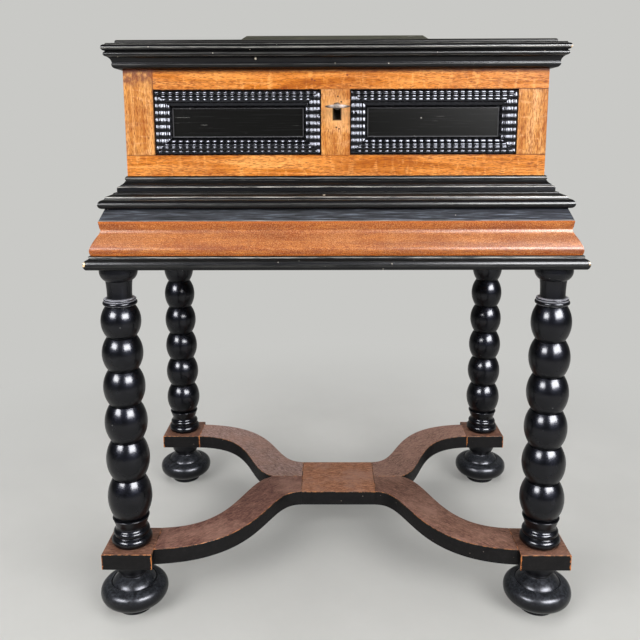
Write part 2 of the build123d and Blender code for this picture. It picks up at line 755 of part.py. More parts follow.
plate_back = front_back_face + lock_plate_thickness
case_back = plate_back + lock_case_depth - lock_wall
case_inside = case_back - lock_wall
bolt_low = key_z + bolt_lift
bolt_y = (plate_back + case_inside) / 2
bolt_nose = lock_case_width / 2 - bolt_nose_inset
bolt_left = lock_x + bolt_travel / 4 - bolt_nose
bolt_right = lock_x + bolt_travel / 4 + bolt_tail
talon_x = lock_x + bolt_travel / 4
staple_right = bolt_left - staple_gap
staple_left = staple_right - staple_thickness
case_x0, case_x1 = lock_x - lock_case_width / 2, lock_x + lock_case_width / 2
case_z0, case_z1 = z_rim - lock_case_drop, z_rim - 2.0

with BuildPart() as lock_plate:
    block(lock_x - lock_plate_width / 2, lock_x + lock_plate_width / 2, front_back_face, plate_back,
          z_rim - lock_plate_drop, z_rim - 0.5)
    along_y(lock_x, key_z, front_back_face, plate_back, key_shaft_dia + 2 * run_fit, Mode.SUBTRACT)
    block(lock_x - key_bit_thickness / 2 - slide_fit, lock_x + key_bit_thickness / 2 + slide_fit,
          front_back_face, plate_back, key_z - key_bit_radius - slide_fit, key_z, Mode.SUBTRACT)
    for x, z in lock_screws_at:
        along_y(x, z, front_back_face, plate_back, small_screw_dia + 2 * fit, Mode.SUBTRACT)
finish(lock_plate, "lock_plate")

guides_at = (bolt_left + 3.5, bolt_right - 6.0)
with BuildPart() as lock_case:
    block(case_x0, case_x1, plate_back, case_back, case_z0, case_z1)
    block(case_x0 + lock_wall, case_x1 - lock_wall, plate_back, case_inside, case_z0 + lock_wall,
          case_z1 - lock_wall, Mode.SUBTRACT)
    for guide in guides_at:
        block(guide, guide + 4, bolt_y - bolt_thickness / 2 - 2, case_inside, bolt_low - 2,
              bolt_low + bolt_height + 2)
        block(guide - 1, guide + 5, bolt_y - bolt_thickness / 2 - slide_fit,
              bolt_y + bolt_thickness / 2 + slide_fit, bolt_low - slide_fit,
              bolt_low + bolt_height + slide_fit, Mode.SUBTRACT)
    block(staple_left - 2, staple_right + 1.5, plate_back, case_inside, case_z1 - lock_wall - 1, case_z1 + 1,
          Mode.SUBTRACT)
    along_y(lock_x, key_z, case_inside, case_back, key_shaft_dia + 2 * run_fit, Mode.SUBTRACT)
finish(lock_case, "lock_case")

with BuildPart() as lock_bolt:
    block(bolt_left, bolt_right, bolt_y - bolt_thickness / 2, bolt_y + bolt_thickness / 2, bolt_low,
          bolt_low + bolt_height)
    block(talon_x - talon_width / 2, talon_x + talon_width / 2, bolt_y - bolt_thickness,
          bolt_y + bolt_thickness, bolt_low, bolt_low + talon_depth, Mode.SUBTRACT)
finish(lock_bolt, "lock_bolt")

window_low, window_high = bolt_low - 1.5, bolt_low + bolt_height + 1.5
window_half = bolt_thickness / 2 + 1.2
with BuildPart() as lid_staple:
    block(staple_left, staple_right, bolt_y - window_half - staple_wall, bolt_y + window_half + staple_wall,
          window_low - 3, z_rim)
    block(staple_left, staple_right, bolt_y - window_half, bolt_y + window_half, window_low, window_high,
          Mode.SUBTRACT)
    block(staple_left - 10, staple_right + 8, bolt_y - window_half - staple_wall,
          bolt_y + window_half + staple_wall, z_rim - 1.5, z_rim)
finish(lid_staple, "lid_staple")

bow_y = casket_front - ripple_proud - key_reach - key_bow_depth / 2
with BuildPart() as key:
    along_y(lock_x, key_z, bow_y + key_bow_depth / 2 - 3, case_back - fit, key_shaft_dia)
    along_y(lock_x, key_z, bow_y + key_bow_depth / 2 - 1, bow_y + key_bow_depth / 2 + 2, key_shaft_dia + 2.5)
    block(lock_x, lock_x + key_bit_radius, bolt_y - key_bit_depth / 2, bolt_y + key_bit_depth / 2,
          key_z - key_bit_thickness / 2, key_z + key_bit_thickness / 2)
    with BuildSketch(Plane.XY.offset(key_z - key_bow_thickness / 2)):
        with Locations((lock_x, bow_y)):
            Ellipse(key_bow_width / 2, key_bow_depth / 2)
            Ellipse(key_bow_width / 2 - 4.5, key_bow_depth / 2 - 4.5, mode=Mode.SUBTRACT)
    extrude(amount=key_bow_thickness)
finish(key, "key")

with BuildPart() as lock_screws:
    for x, z in lock_screws_at:
        along_y(x, z, front_back_face - small_screw_length + fit, plate_back, small_screw_dia)
        along_y(x, z, plate_back, plate_back + 1.2, small_screw_head)
finish(lock_screws, "lock_screws")
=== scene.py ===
import json
import math

import bmesh
import bpy
from mathutils import Matrix, Vector


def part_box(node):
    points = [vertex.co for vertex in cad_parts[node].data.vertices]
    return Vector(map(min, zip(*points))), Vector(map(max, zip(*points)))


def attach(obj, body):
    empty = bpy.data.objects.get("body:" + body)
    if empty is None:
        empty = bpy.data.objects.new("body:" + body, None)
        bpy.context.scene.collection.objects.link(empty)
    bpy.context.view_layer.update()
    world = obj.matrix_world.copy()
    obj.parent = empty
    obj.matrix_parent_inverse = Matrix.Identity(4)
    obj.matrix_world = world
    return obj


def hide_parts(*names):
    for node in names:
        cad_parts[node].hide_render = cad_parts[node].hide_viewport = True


# A lift-lid casket of waxed oak and ebonised wood on its own bead-turned stand.
# Metres, X to the right, Y to the back, Z up; the origin is on the floor between the legs.

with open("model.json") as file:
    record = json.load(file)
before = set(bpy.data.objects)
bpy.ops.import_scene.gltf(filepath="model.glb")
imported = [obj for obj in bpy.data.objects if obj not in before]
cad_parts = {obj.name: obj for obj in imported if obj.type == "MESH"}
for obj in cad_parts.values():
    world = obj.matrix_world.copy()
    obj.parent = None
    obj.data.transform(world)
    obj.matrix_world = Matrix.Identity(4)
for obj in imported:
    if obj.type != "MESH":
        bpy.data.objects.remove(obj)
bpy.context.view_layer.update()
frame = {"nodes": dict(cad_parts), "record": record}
nodes = frame["nodes"]

mm = 0.001
places = ("front_left", "front_right", "back_left", "back_right")

# places that several finishes share, from the carried model
casket_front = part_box("casket_bottom_rail")[0].y
rail_joint_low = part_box("casket_bottom_rail")[1].z
rail_joint_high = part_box("casket_top_rail")[0].z
stile_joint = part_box("casket_stile_left")[1].x
casket_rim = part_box("casket_top_rail")[1].z
frieze_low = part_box("frieze_front")[0].z
frieze_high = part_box("splay_moulding")[0].z
stand_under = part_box("bottom_moulding")[0].z
key_low, key_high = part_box("key")
key_x, key_z = (key_low.x + key_high.x) / 2, (key_low.z + key_high.z) / 2
strip_width = 23.9 * mm
# what the lower mouldings are planted on: the stand frame's left side and front
stand_frame = ("frame_rail_left", "frame_rail_front")


# ---------------------------------------------------------------- small helpers


def linear(code, alpha=1.0):
    """An sRGB hex colour as linear red, green, blue and alpha."""
    channels = [int(code[i:i + 2], 16) / 255 for i in (1, 3, 5)]
    return [c / 12.92 if c <= 0.04045 else ((c + 0.055) / 1.055) ** 2.4 for c in channels] + [alpha]


def add(tree, kind, inputs=None, stops=None, **settings):
    """Add one shader node. Inputs are values, hex colours or outputs; stops are a ramp's places and colours."""
    made = tree.nodes.new(kind)
    for name, value in settings.items():
        setattr(made, name, value)
    for order, (place, code) in enumerate(stops or ()):
        elements = made.color_ramp.elements
        stop = elements[order] if order < 2 else elements.new(place)
        stop.position = place
        stop.color = linear(code)
    for socket, value in (inputs or {}).items():
        if isinstance(value, bpy.types.NodeSocket):
            tree.links.new(value, made.inputs[socket])
        else:
            made.inputs[socket].default_value = linear(value) if isinstance(value, str) else value
    return made


def every(size):
    """The scale of a pattern whose features are this many millimetres across."""
    return 1 / (size * mm)


def new_material(name):
    """An empty material, with its tree to fill and the place of each point on the piece."""
    material = bpy.data.materials.new(name)
    material.use_nodes = True
    tree = material.node_tree
    tree.nodes.clear()
    return material, tree, add(tree, "ShaderNodeTexCoord").outputs["Object"]


def facing_up(tree):
    """How far a point faces up: 1 on top, 0 on a side, -1 underneath."""
    normal = add(tree, "ShaderNodeNewGeometry").outputs["Normal"]
    return add(tree, "ShaderNodeSeparateXYZ", {0: normal}).outputs[2]


def surface(tree, colour, roughness, bump=None, strength=0.3, depth=0.3 * mm, metallic=0.0, coat=0.0,
            coat_roughness=0.2, specular=0.5, tint="#ffffff"):
    """Finish a material: one Principled shader, its relief and the output."""
    inputs = {"Base Color": colour, "Roughness": roughness, "Metallic": metallic, "Coat Weight": coat,
              "Coat Roughness": coat_roughness, "Specular IOR Level": specular, "Specular Tint": tint}
    if bump is not None:
        relief = add(tree, "ShaderNodeBump", {"Height": bump, "Strength": strength, "Distance": depth})
        inputs["Normal"] = relief.outputs[0]
    shader = add(tree, "ShaderNodeBsdfPrincipled", inputs)
    add(tree, "ShaderNodeOutputMaterial", {0: shader.outputs[0]})


# ---------------------------------------------------------------- oak


def waxed_oak(name, along, shades, fleck, rays=0.6, wax=0.06, joints=(), extra=None):
    """Quartered oak, planed, oiled and waxed: soft figure, pale rays across it, short dark flecks and pores.

    along is the grain's axis; shades are its figure from dark to light; fleck is the colour of its flecks;
    rays and wax are how much shows of either; joints are the axis and place of each joint that has gathered
    dirt; extra adds the wear of one piece."""
    material, tree, place = new_material(name)
    grain = "XYZ".index(along)
    # along the grain the figure is drawn out 14 times and the flecks 8 times, and the rays are squeezed
    board, strand, across = [
        add(tree, "ShaderNodeMapping", {"Vector": place, "Scale": [squeeze if axis == grain else 1.0
                                                                   for axis in range(3)]}).outputs[0]
        for squeeze in (0.07, 0.13, 3.2)]
    # growth figure about 12 mm across and 170 mm long
    figure = add(tree, "ShaderNodeTexNoise", {"Vector": board, "Scale": every(11.76), "Detail": 4.0,
                                              "Roughness": 0.6, "Distortion": 0.8}).outputs[0]
    colour = add(tree, "ShaderNodeValToRGB", {0: figure},
                 stops=[(0.30, shades[0]), (0.43, shades[1]), (0.55, shades[2]), (0.70, shades[3])]).outputs[0]
    # pale rays about 8 mm wide that cross the grain
    ray = add(tree, "ShaderNodeTexNoise", {"Vector": across, "Scale": every(26.3), "Detail": 3.0,
                                           "Distortion": 0.7}).outputs[0]
    ray_share = add(tree, "ShaderNodeMapRange", {0: ray, 1: 0.54, 2: 0.68, 3: 0.0, 4: rays}).outputs[0]
    colour = add(tree, "ShaderNodeMix", {0: ray_share, 6: colour, 7: shades[3]}, data_type="RGBA").outputs[2]
    # old wax and handling leave broad darker patches
    patch = add(tree, "ShaderNodeTexNoise", {"Vector": place, "Scale": every(55.6), "Detail": 4.0}).outputs[0]
    patch_share = add(tree, "ShaderNodeMapRange", {0: patch, 1: 0.50, 2: 0.74, 3: 0.0, 4: 0.5}).outputs[0]
    colour = add(tree, "ShaderNodeMix", {0: patch_share, 6: colour, 7: shades[0]}, data_type="RGBA").outputs[2]
    # flecks, drawn about 1.2 mm wide and 9 mm long so that they show, thick in some places and few in others
    streak = add(tree, "ShaderNodeTexNoise", {"Vector": strand, "Scale": every(1.163), "Detail": 3.0,
                                              "Roughness": 0.6, "Distortion": 0.3}).outputs[0]
    crowd = add(tree, "ShaderNodeTexNoise", {"Vector": board, "Scale": every(6.67), "Detail": 2.0}).outputs[0]
    streak = add(tree, "ShaderNodeMath", {0: crowd, 1: 0.35, 2: streak}, operation="MULTIPLY_ADD").outputs[0]
    streak_share = add(tree, "ShaderNodeMapRange", {0: streak, 1: 0.66, 2: 0.82, 3: 0.0, 4: 0.8}).outputs[0]
    colour = add(tree, "ShaderNodeMix", {0: streak_share, 6: colour, 7: fleck}, data_type="RGBA").outputs[2]
    # open pores, 0.3 mm wide on oak, drawn about 0.8 mm wide so that they show
    pore = add(tree, "ShaderNodeTexNoise", {"Vector": strand, "Scale": every(0.8), "Detail": 2.0}).outputs[0]
    pore_share = add(tree, "ShaderNodeMapRange", {0: pore, 1: 0.54, 2: 0.68, 3: 0.0, 4: 0.75}).outputs[0]
    colour = add(tree, "ShaderNodeMix", {0: pore_share, 6: colour, 7: "#6d300c"}, data_type="RGBA").outputs[2]
    axes = add(tree, "ShaderNodeSeparateXYZ", {0: place}).outputs
    for axis, where in joints:
        gap = add(tree, "ShaderNodeMath", {0: axes[axis], 1: where}, operation="SUBTRACT").outputs[0]
        gap = add(tree, "ShaderNodeMath", {0: gap}, operation="ABSOLUTE").outputs[0]
        dirt = add(tree, "ShaderNodeMapRange", {0: gap, 1: 0.4 * mm, 2: 1.2 * mm, 3: 0.65, 4: 0.0}).outputs[0]
        colour = add(tree, "ShaderNodeMix", {0: dirt, 6: colour, 7: "#5a2c18"}, data_type="RGBA").outputs[2]
    if extra:
        colour = extra(tree, colour, place, axes)
    height = add(tree, "ShaderNodeMath", {0: streak_share, 1: pore_share}, operation="ADD").outputs[0]
    dips = add(tree, "ShaderNodeMath", {0: 1.0, 1: height}, operation="SUBTRACT").outputs[0]
    gloss = add(tree, "ShaderNodeMapRange", {0: figure, 1: 0.3, 2: 0.7, 3: 0.52, 4: 0.40}).outputs[0]
    surface(tree, colour, gloss, dips, strength=0.5, depth=0.25 * mm, coat=wax, coat_roughness=0.29, specular=0.04)
    return material


def outside_box(tree, axes, spans):
    """How far a point lies outside a box, below zero inside it; spans are axis, middle and half size."""
    outs = []
    for axis, middle, half in spans:
        away = add(tree, "ShaderNodeMath", {0: axes[axis], 1: middle}, operation="SUBTRACT").outputs[0]
        away = add(tree, "ShaderNodeMath", {0: away}, operation="ABSOLUTE").outputs[0]
        outs.append(add(tree, "ShaderNodeMath", {0: away, 1: half}, operation="SUBTRACT").outputs[0])
    return add(tree, "ShaderNodeMath", {0: outs[0], 1: outs[1]}, operation="MAXIMUM").outputs[0]


def rim_shade_and_smudges(tree, colour, place, axes):
    """Painted shade under the lid's overhang, and purple-brown smudges on the upper left corner."""
    # painted shade: the oak is painted darker from 7 mm under the rim up to 2 mm under it, in the overhang's shadow
    under = add(tree, "ShaderNodeMapRange", {0: axes[2], 1: casket_rim - 7 * mm, 2: casket_rim - 2 * mm,
                                             3: 0.0, 4: 0.9}).outputs[0]
    colour = add(tree, "ShaderNodeMix", {0: under, 6: colour, 7: "#32150c"}, data_type="RGBA").outputs[2]
    smudge = add(tree, "ShaderNodeTexNoise", {"Vector": place, "Scale": every(7.69), "Detail": 4.0,
                                              "Roughness": 0.65}).outputs[0]
    corner = add(tree, "ShaderNodeMapRange", {0: axes[0], 1: stile_joint + 6.5 * mm, 2: stile_joint - 3.5 * mm,
                                              3: 0.0, 4: 1.0}).outputs[0]
    high = add(tree, "ShaderNodeMapRange", {0: axes[2], 1: casket_rim - 25.5 * mm, 2: casket_rim - 15.5 * mm,
                                            3: 0.0, 4: 1.0}).outputs[0]
    spots = add(tree, "ShaderNodeMapRange", {0: smudge, 1: 0.38, 2: 0.60, 3: 0.1, 4: 0.8}).outputs[0]
    both = add(tree, "ShaderNodeMath", {0: high, 1: spots}, operation="MULTIPLY").outputs[0]
    both = add(tree, "ShaderNodeMath", {0: both, 1: corner}, operation="MULTIPLY").outputs[0]
    colour = add(tree, "ShaderNodeMix", {0: both, 6: colour, 7: "#6b3a30"}, data_type="RGBA").outputs[2]
    # dark spots over the middle stile: how far right, how far under the rim and how large, millimetres
    for x, down, size in ((-31.7, 14.5, 2.4), (-28.0, 16.0, 1.6), (15.7, 9.0, 2.0), (19.8, 23.0, 1.5)):
        knot = add(tree, "ShaderNodeVectorMath", {0: place, 1: (x * mm, casket_front, casket_rim - down * mm)},
                   operation="DISTANCE").outputs[1]
        dark = add(tree, "ShaderNodeMapRange", {0: knot, 1: size * mm, 2: 0.4 * size * mm, 3: 0.0, 4: 0.8}).outputs[0]
        colour = add(tree, "ShaderNodeMix", {0: dark, 6: colour, 7: "#6e3020"}, data_type="RGBA").outputs[2]
    return colour


def keyhole_wear(tree, colour, place, axes):
    """Oak rubbed pale round the keyhole, and four old nail holes."""
    keyhole = add(tree, "ShaderNodeVectorMath", {0: place, 1: (key_x, casket_front, key_z - 8.5 * mm)},
                  operation="DISTANCE").outputs[1]
    rubbed = add(tree, "ShaderNodeMapRange", {0: keyhole, 1: 26 * mm, 2: 6 * mm, 3: 0.0, 4: 0.55}).outputs[0]
    colour = add(tree, "ShaderNodeMix", {0: rubbed, 6: colour, 7: "#f2bd84"}, data_type="RGBA").outputs[2]
    # how far a point lies outside the keyhole: a slot with a round head
    half_width, half_height, slot_middle = 5.3 * mm, 8.9 * mm, key_z - 8.1 * mm
    slot = outside_box(tree, axes, ((0, key_x, half_width), (2, slot_middle, half_height)))
    head = add(tree, "ShaderNodeVectorMath", {0: place, 1: (key_x, casket_front, key_z)},
               operation="DISTANCE").outputs[1]
    head = add(tree, "ShaderNodeMath", {0: head, 1: half_width}, operation="SUBTRACT").outputs[0]
    outside = add(tree, "ShaderNodeMath", {0: slot, 1: head}, operation="MINIMUM").outputs[0]
    # a dark rim, about 1.4 mm wide, drawn round the keyhole's edge
    dark_band = add(tree, "ShaderNodeMapRange", {0: outside, 1: 1.4 * mm, 2: 0.2 * mm, 3: 0.0, 4: 0.9}).outputs[0]
    colour = add(tree, "ShaderNodeMix", {0: dark_band, 6: colour, 7: "#2a1208"}, data_type="RGBA").outputs[2]
    # nail holes: how far right of the key's axis and above it, millimetres
    for x, z in ((1.0, 14.0), (5.6, 7.0), (-1.0, -27.0), (2.6, -29.0)):
        nail = add(tree, "ShaderNodeVectorMath", {0: place, 1: (key_x + x * mm, casket_front, key_z + z * mm)},
                   operation="DISTANCE").outputs[1]
        hole = add(tree, "ShaderNodeMapRange", {0: nail, 1: 1.5 * mm, 2: 0.9 * mm, 3: 0.0, 4: 0.9}).outputs[0]
        colour = add(tree, "ShaderNodeMix", {0: hole, 6: colour, 7: "#2a140b"}, data_type="RGBA").outputs[2]
    return colour


def frieze_sheen_and_pores(tree, colour, place, axes):
    """Painted sheen makes the hollow paler in patches; painted tone gives the top and bottom edges a stronger orange.
    """
    level = add(tree, "ShaderNodeMapRange", {0: axes[2], 1: frieze_low, 2: frieze_high}).outputs[0]
    hollow = add(tree, "ShaderNodeValToRGB", {0: level},
                 stops=[(0.27, "#000000"), (0.42, "#ffffff"), (0.66, "#ffffff"), (0.78, "#000000")]).outputs[0]
    # painted tone: the top and bottom edges get a stronger orange, which shows where no sheen lies
    rubbed = add(tree, "ShaderNodeValToRGB", {0: level},
                 stops=[(0.03, "#dddddd"), (0.07, "#000000"), (0.92, "#000000"), (0.97, "#dddddd")]).outputs[0]
    colour = add(tree, "ShaderNodeMix", {0: rubbed, 6: colour, 7: "#cf6d20"}, data_type="RGBA").outputs[2]
    # painted sheen: the hollow is painted paler, in patches
    patchy = add(tree, "ShaderNodeTexNoise", {"Vector": place, "Scale": every(62.5), "Detail": 5.0}).outputs[0]
    share = add(tree, "ShaderNodeMapRange", {0: patchy, 1: 0.35, 2: 0.65, 3: 0.05, 4: 0.3}).outputs[0]
    share = add(tree, "ShaderNodeMath", {0: share, 1: hollow}, operation="MULTIPLY").outputs[0]
    colour = add(tree, "ShaderNodeMix", {0: share, 6: colour, 7: "#dd9a60"}, data_type="RGBA").outputs[2]
    # painted glints of the wax as pale specks in some pores, and dirt in others, 0.3 mm wide on oak, drawn about 1.1
    # mm so that they show
    grains = add(tree, "ShaderNodeTexNoise", {"Vector": place, "Scale": every(1.111), "Detail": 2.0}).outputs[0]
    painted_glints = add(tree, "ShaderNodeMapRange", {0: grains, 1: 0.52, 2: 0.66, 3: 0.0, 4: 0.35}).outputs[0]
    colour = add(tree, "ShaderNodeMix", {0: painted_glints, 6: colour, 7: "#e4b083"}, data_type="RGBA").outputs[2]
    dark = add(tree, "ShaderNodeMapRange", {0: grains, 1: 0.48, 2: 0.36, 3: 0.0, 4: 0.75}).outputs[0]
    return add(tree, "ShaderNodeMix", {0: dark, 6: colour, 7: "#7a3610"}, data_type="RGBA").outputs[2]


casket_shades = ("#9a4c0c", "#c7731d", "#e08f40", "#f6ac5e")
stile_shades = ("#a75f24", "#c8823a", "#da9a53", "#eeb377")
frieze_shades = ("#763406", "#984c10", "#ae601e", "#c67b36")
oak_rail_low = waxed_oak("waxed oak, bottom rail, grain across", "X", casket_shades, "#8f420a",
                         joints=[(2, rail_joint_low)])
oak_rail_top = waxed_oak("waxed oak, top rail, grain across", "X", casket_shades, "#8f420a",
                         joints=[(0, stile_joint), (2, rail_joint_high)], extra=rim_shade_and_smudges)
oak_stile_left = waxed_oak("waxed oak, left stile, grain upright", "Z", stile_shades, "#93480f",
                           joints=[(0, stile_joint), (2, rail_joint_low)], extra=rim_shade_and_smudges)
oak_stile_right = waxed_oak("waxed oak, right stile, grain upright", "Z", stile_shades, "#93480f",
                            joints=[(2, rail_joint_low), (2, rail_joint_high)])
oak_muntin = waxed_oak("waxed oak, middle stile", "Z", stile_shades, "#9c4e14", extra=keyhole_wear)
oak_sides = waxed_oak("waxed oak, casket sides, grain front to back", "Y", casket_shades, "#8f420a",
                      extra=rim_shade_and_smudges)
oak_back = waxed_oak("waxed oak, casket back", "X", casket_shades, "#8f420a")
oak_frieze_front = waxed_oak("waxed oak, frieze front", "X", frieze_shades, "#863b0c", rays=0.3, wax=0.42,
                             extra=frieze_sheen_and_pores)
oak_frieze_side = waxed_oak("waxed oak, frieze sides", "Y", frieze_shades, "#863b0c", rays=0.3, wax=0.42,
                            extra=frieze_sheen_and_pores)
bare_shades = ("#5d3f26", "#7d5a38", "#8f6a45", "#a17b54")
oak_bare_x = waxed_oak("bare oak, sawn and aged, grain across", "X", bare_shades, "#4d3320")
oak_bare_y = waxed_oak("bare oak, sawn and aged, grain front to back", "Y", bare_shades, "#4d3320")

# ---------------------------------------------------------------- ebonised wood


def specks(tree, place, spacing, least, colour, under, share=0.9):
    """Small pale knocks where the black has flaked off, in some of the squares of one spacing."""
    cells = add(tree, "ShaderNodeTexVoronoi", {"Vector": place, "Scale": 1 / spacing})
    near = add(tree, "ShaderNodeMapRange", {0: cells.outputs["Distance"], 1: 0.15, 2: 0.07, 3: 0.0, 4: 1.0})
    pick = add(tree, "ShaderNodeSeparateColor", {0: cells.outputs["Color"]}).outputs[0]
    chosen = add(tree, "ShaderNodeMapRange", {0: pick, 1: least, 2: least + 0.02, 3: 0.0, 4: share})
    both = add(tree, "ShaderNodeMath", {0: near.outputs[0], 1: chosen.outputs[0]}, operation="MULTIPLY")
    return add(tree, "ShaderNodeMix", {0: both.outputs[0], 6: under, 7: colour}, data_type="RGBA").outputs[2]


def ebonised_turning(name, dust, shellac=0.2, extra=None):
    """Pear wood turned, dyed black and shellacked: deep black, with faint lathe rings and patches of dust.

    dust is how much of it lies on what faces up; shellac is how rough its shellac has become."""
    material, tree, place = new_material(name)
    # lathe rings, under 0.5 mm apart on pear, drawn about 2.4 mm apart so that they show
    rings = add(tree, "ShaderNodeMapping", {"Vector": place, "Scale": (0.02, 0.02, 1.0)}).outputs[0]
    ring = add(tree, "ShaderNodeTexNoise", {"Vector": rings, "Scale": every(2.381), "Detail": 3.0}).outputs[0]
    cloud = add(tree, "ShaderNodeTexNoise", {"Vector": place, "Scale": every(14.29), "Detail": 5.0,
                                             "Roughness": 0.65}).outputs[0]
    colour = add(tree, "ShaderNodeValToRGB", {0: cloud},
                 stops=[(0.35, "#020202"), (0.60, "#040405"), (0.80, "#0b0b0e")]).outputs[0]
    facing = facing_up(tree)
    grit = add(tree, "ShaderNodeTexNoise", {"Vector": place, "Scale": every(4.167), "Detail": 6.0,
                                            "Roughness": 0.75}).outputs[0]
    film = add(tree, "ShaderNodeMapRange", {0: grit, 1: 0.42, 2: 0.64, 3: 0.15 * dust, 4: 2 * dust}).outputs[0]
    settled = add(tree, "ShaderNodeMapRange", {0: facing, 1: -0.1, 2: 0.9, 3: 0.0, 4: film}).outputs[0]
    colour = add(tree, "ShaderNodeMix", {0: settled, 6: colour, 7: "#7d828c"}, data_type="RGBA").outputs[2]
    colour = specks(tree, place, 6 * mm, 0.965, "#8f8f90", colour, 0.7)
    if extra:
        colour = extra(tree, colour, place)
    worn = add(tree, "ShaderNodeMapRange", {0: cloud, 1: 0.3, 2: 0.75, 3: 0.28, 4: 0.42}).outputs[0]
    dents = add(tree, "ShaderNodeTexNoise", {"Vector": place, "Scale": every(3.846), "Detail": 4.0}).outputs[0]
    relief = add(tree, "ShaderNodeMath", {0: ring, 1: 0.45, 2: dents}, operation="MULTIPLY_ADD").outputs[0]
    surface(tree, colour, worn, relief, strength=0.4, depth=0.25 * mm, coat=0.5, coat_roughness=shellac,
            specular=0.07, tint="#b8c4ff")
    return material


def ebonised_run(name, moulding, planted_on, arrises, base=("#030303", "#060606", "#100f0f"), dust=0.015,
                 line_mark="#bdbbb4", gloss=(0.34, 0.48), polish=0.5, shade=None, chips=()):
    """Black-stained planed moulding: satin, scratched along its run, with grey lines on its arrises and bead tips
    that are part rubbed wear and part painted highlight.

    planted_on names the pieces whose left side and front it is planted on; arrises are the heights of the grey
    lines, as shares of the moulding's own, how strong each is and how wide in millimetres; shade is a share above
    which a painted shadow blackens it; chips are broken corners, each with its place in from the right or left
    end, in from the front and down from the top, and its size."""
    low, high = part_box(moulding)
    half_x, front_y = -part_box(planted_on[0])[0].x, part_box(planted_on[1])[0].y
    material, tree, place = new_material(name)
    x, y, z = add(tree, "ShaderNodeSeparateXYZ", {0: place}).outputs
    out_x = add(tree, "ShaderNodeMath", {0: add(tree, "ShaderNodeMath", {0: x}, operation="ABSOLUTE").outputs[0],
                                         1: half_x}, operation="SUBTRACT").outputs[0]
    out_y = add(tree, "ShaderNodeMath", {0: front_y, 1: y}, operation="SUBTRACT").outputs[0]
    outward = add(tree, "ShaderNodeMath", {0: out_x, 1: out_y}, operation="MAXIMUM").outputs[0]
    on_side = add(tree, "ShaderNodeMath", {0: out_x, 1: out_y}, operation="GREATER_THAN").outputs[0]
    along = add(tree, "ShaderNodeMix", {0: on_side, 2: x, 3: y}).outputs[0]
    run = add(tree, "ShaderNodeCombineXYZ", {0: along, 1: outward, 2: z}).outputs[0]
    # fibres and scratches, finer on pear, drawn about 1.4 mm wide and 36 mm long so that they show
    strand = add(tree, "ShaderNodeMapping", {"Vector": run, "Scale": (0.04, 1.0, 1.0)}).outputs[0]
    fibre = add(tree, "ShaderNodeTexNoise", {"Vector": strand, "Scale": every(1.429), "Detail": 3.0,
                                             "Roughness": 0.6}).outputs[0]
    colour = add(tree, "ShaderNodeValToRGB", {0: fibre},
                 stops=[(0.36, base[0]), (0.55, base[1]), (0.74, base[2])]).outputs[0]
    facing = facing_up(tree)
    settled = add(tree, "ShaderNodeMapRange", {0: facing, 1: 0.2, 2: 0.95, 3: 0.0, 4: dust}).outputs[0]
    colour = add(tree, "ShaderNodeMix", {0: settled, 6: colour, 7: "#8d8a7e"}, data_type="RGBA").outputs[2]
    # grey lines on the arrises and bead tips, part rubbed wear and part painted highlight, broken into dashes about
    # 40 mm long
    level = add(tree, "ShaderNodeMapRange", {0: z, 1: low.z, 2: high.z}).outputs[0]
    stops = [(0.0, "#000000")]
    for share, amount, width in arrises:
        grey = "#" + format(int(255 * amount), "02x") * 3
        reach = width / 2 * mm / (high.z - low.z)
        stops += [(max(0.0, share - 1.6 * reach), "#000000"), (max(0.0, share - reach), grey),
                  (min(1.0, share + reach), grey), (min(1.0, share + 1.6 * reach), "#000000")]
    edge = add(tree, "ShaderNodeValToRGB", {0: level}, stops=stops).outputs[0]
    # painted shadow: above the share shade the moulding is painted near black, under the overhang of the piece above
    if shade:
        dark_band = add(tree, "ShaderNodeMapRange", {0: level, 1: shade, 2: 1.0, 3: 0.0, 4: 0.95}).outputs[0]
        colour = add(tree, "ShaderNodeMix", {0: dark_band, 6: colour, 7: "#040404"}, data_type="RGBA").outputs[2]
    dash = add(tree, "ShaderNodeTexNoise", {"Vector": strand, "Scale": every(1.613), "Detail": 5.0,
                                            "Roughness": 0.7}).outputs[0]
    broken = add(tree, "ShaderNodeMapRange", {0: dash, 1: 0.38, 2: 0.60, 3: 0.1, 4: 1.0}).outputs[0]
    rubbed = add(tree, "ShaderNodeMath", {0: edge, 1: broken}, operation="MULTIPLY").outputs[0]
    colour = add(tree, "ShaderNodeMix", {0: rubbed, 6: colour, 7: line_mark}, data_type="RGBA").outputs[2]
    colour = specks(tree, run, 7 * mm, 0.95, "#b9b2a6", colour)
    colour = specks(tree, run, 15 * mm, 0.93, "#c9bfae", colour)
    for side, in_x, in_y, down, size in chips:
        corner = (side * (high.x - in_x), low.y + in_y, high.z - down)
        gap = add(tree, "ShaderNodeVectorMath", {0: place, 1: corner}, operation="DISTANCE").outputs[1]
        rough = add(tree, "ShaderNodeTexNoise", {"Vector": place, "Scale": every(2.381), "Detail": 4.0,
                                                 "Roughness": 0.75}).outputs[0]
        ragged = add(tree, "ShaderNodeMath", {0: rough, 1: -4 * size, 2: gap}, operation="MULTIPLY_ADD").outputs[0]
        chip = add(tree, "ShaderNodeMapRange", {0: ragged, 1: -size, 2: -1.35 * size, 3: 0.0, 4: 1.0}).outputs[0]
        colour = add(tree, "ShaderNodeMix", {0: chip, 6: colour, 7: "#d8b98f"}, data_type="RGBA").outputs[2]
    worn = add(tree, "ShaderNodeMapRange", {0: fibre, 1: 0.3, 2: 0.75, 3: gloss[0], 4: gloss[1]}).outputs[0]
    surface(tree, colour, worn, fibre, strength=0.3, depth=0.25 * mm, coat=polish, coat_roughness=0.25,
            specular=0.03, tint="#c4cdff")
    return material


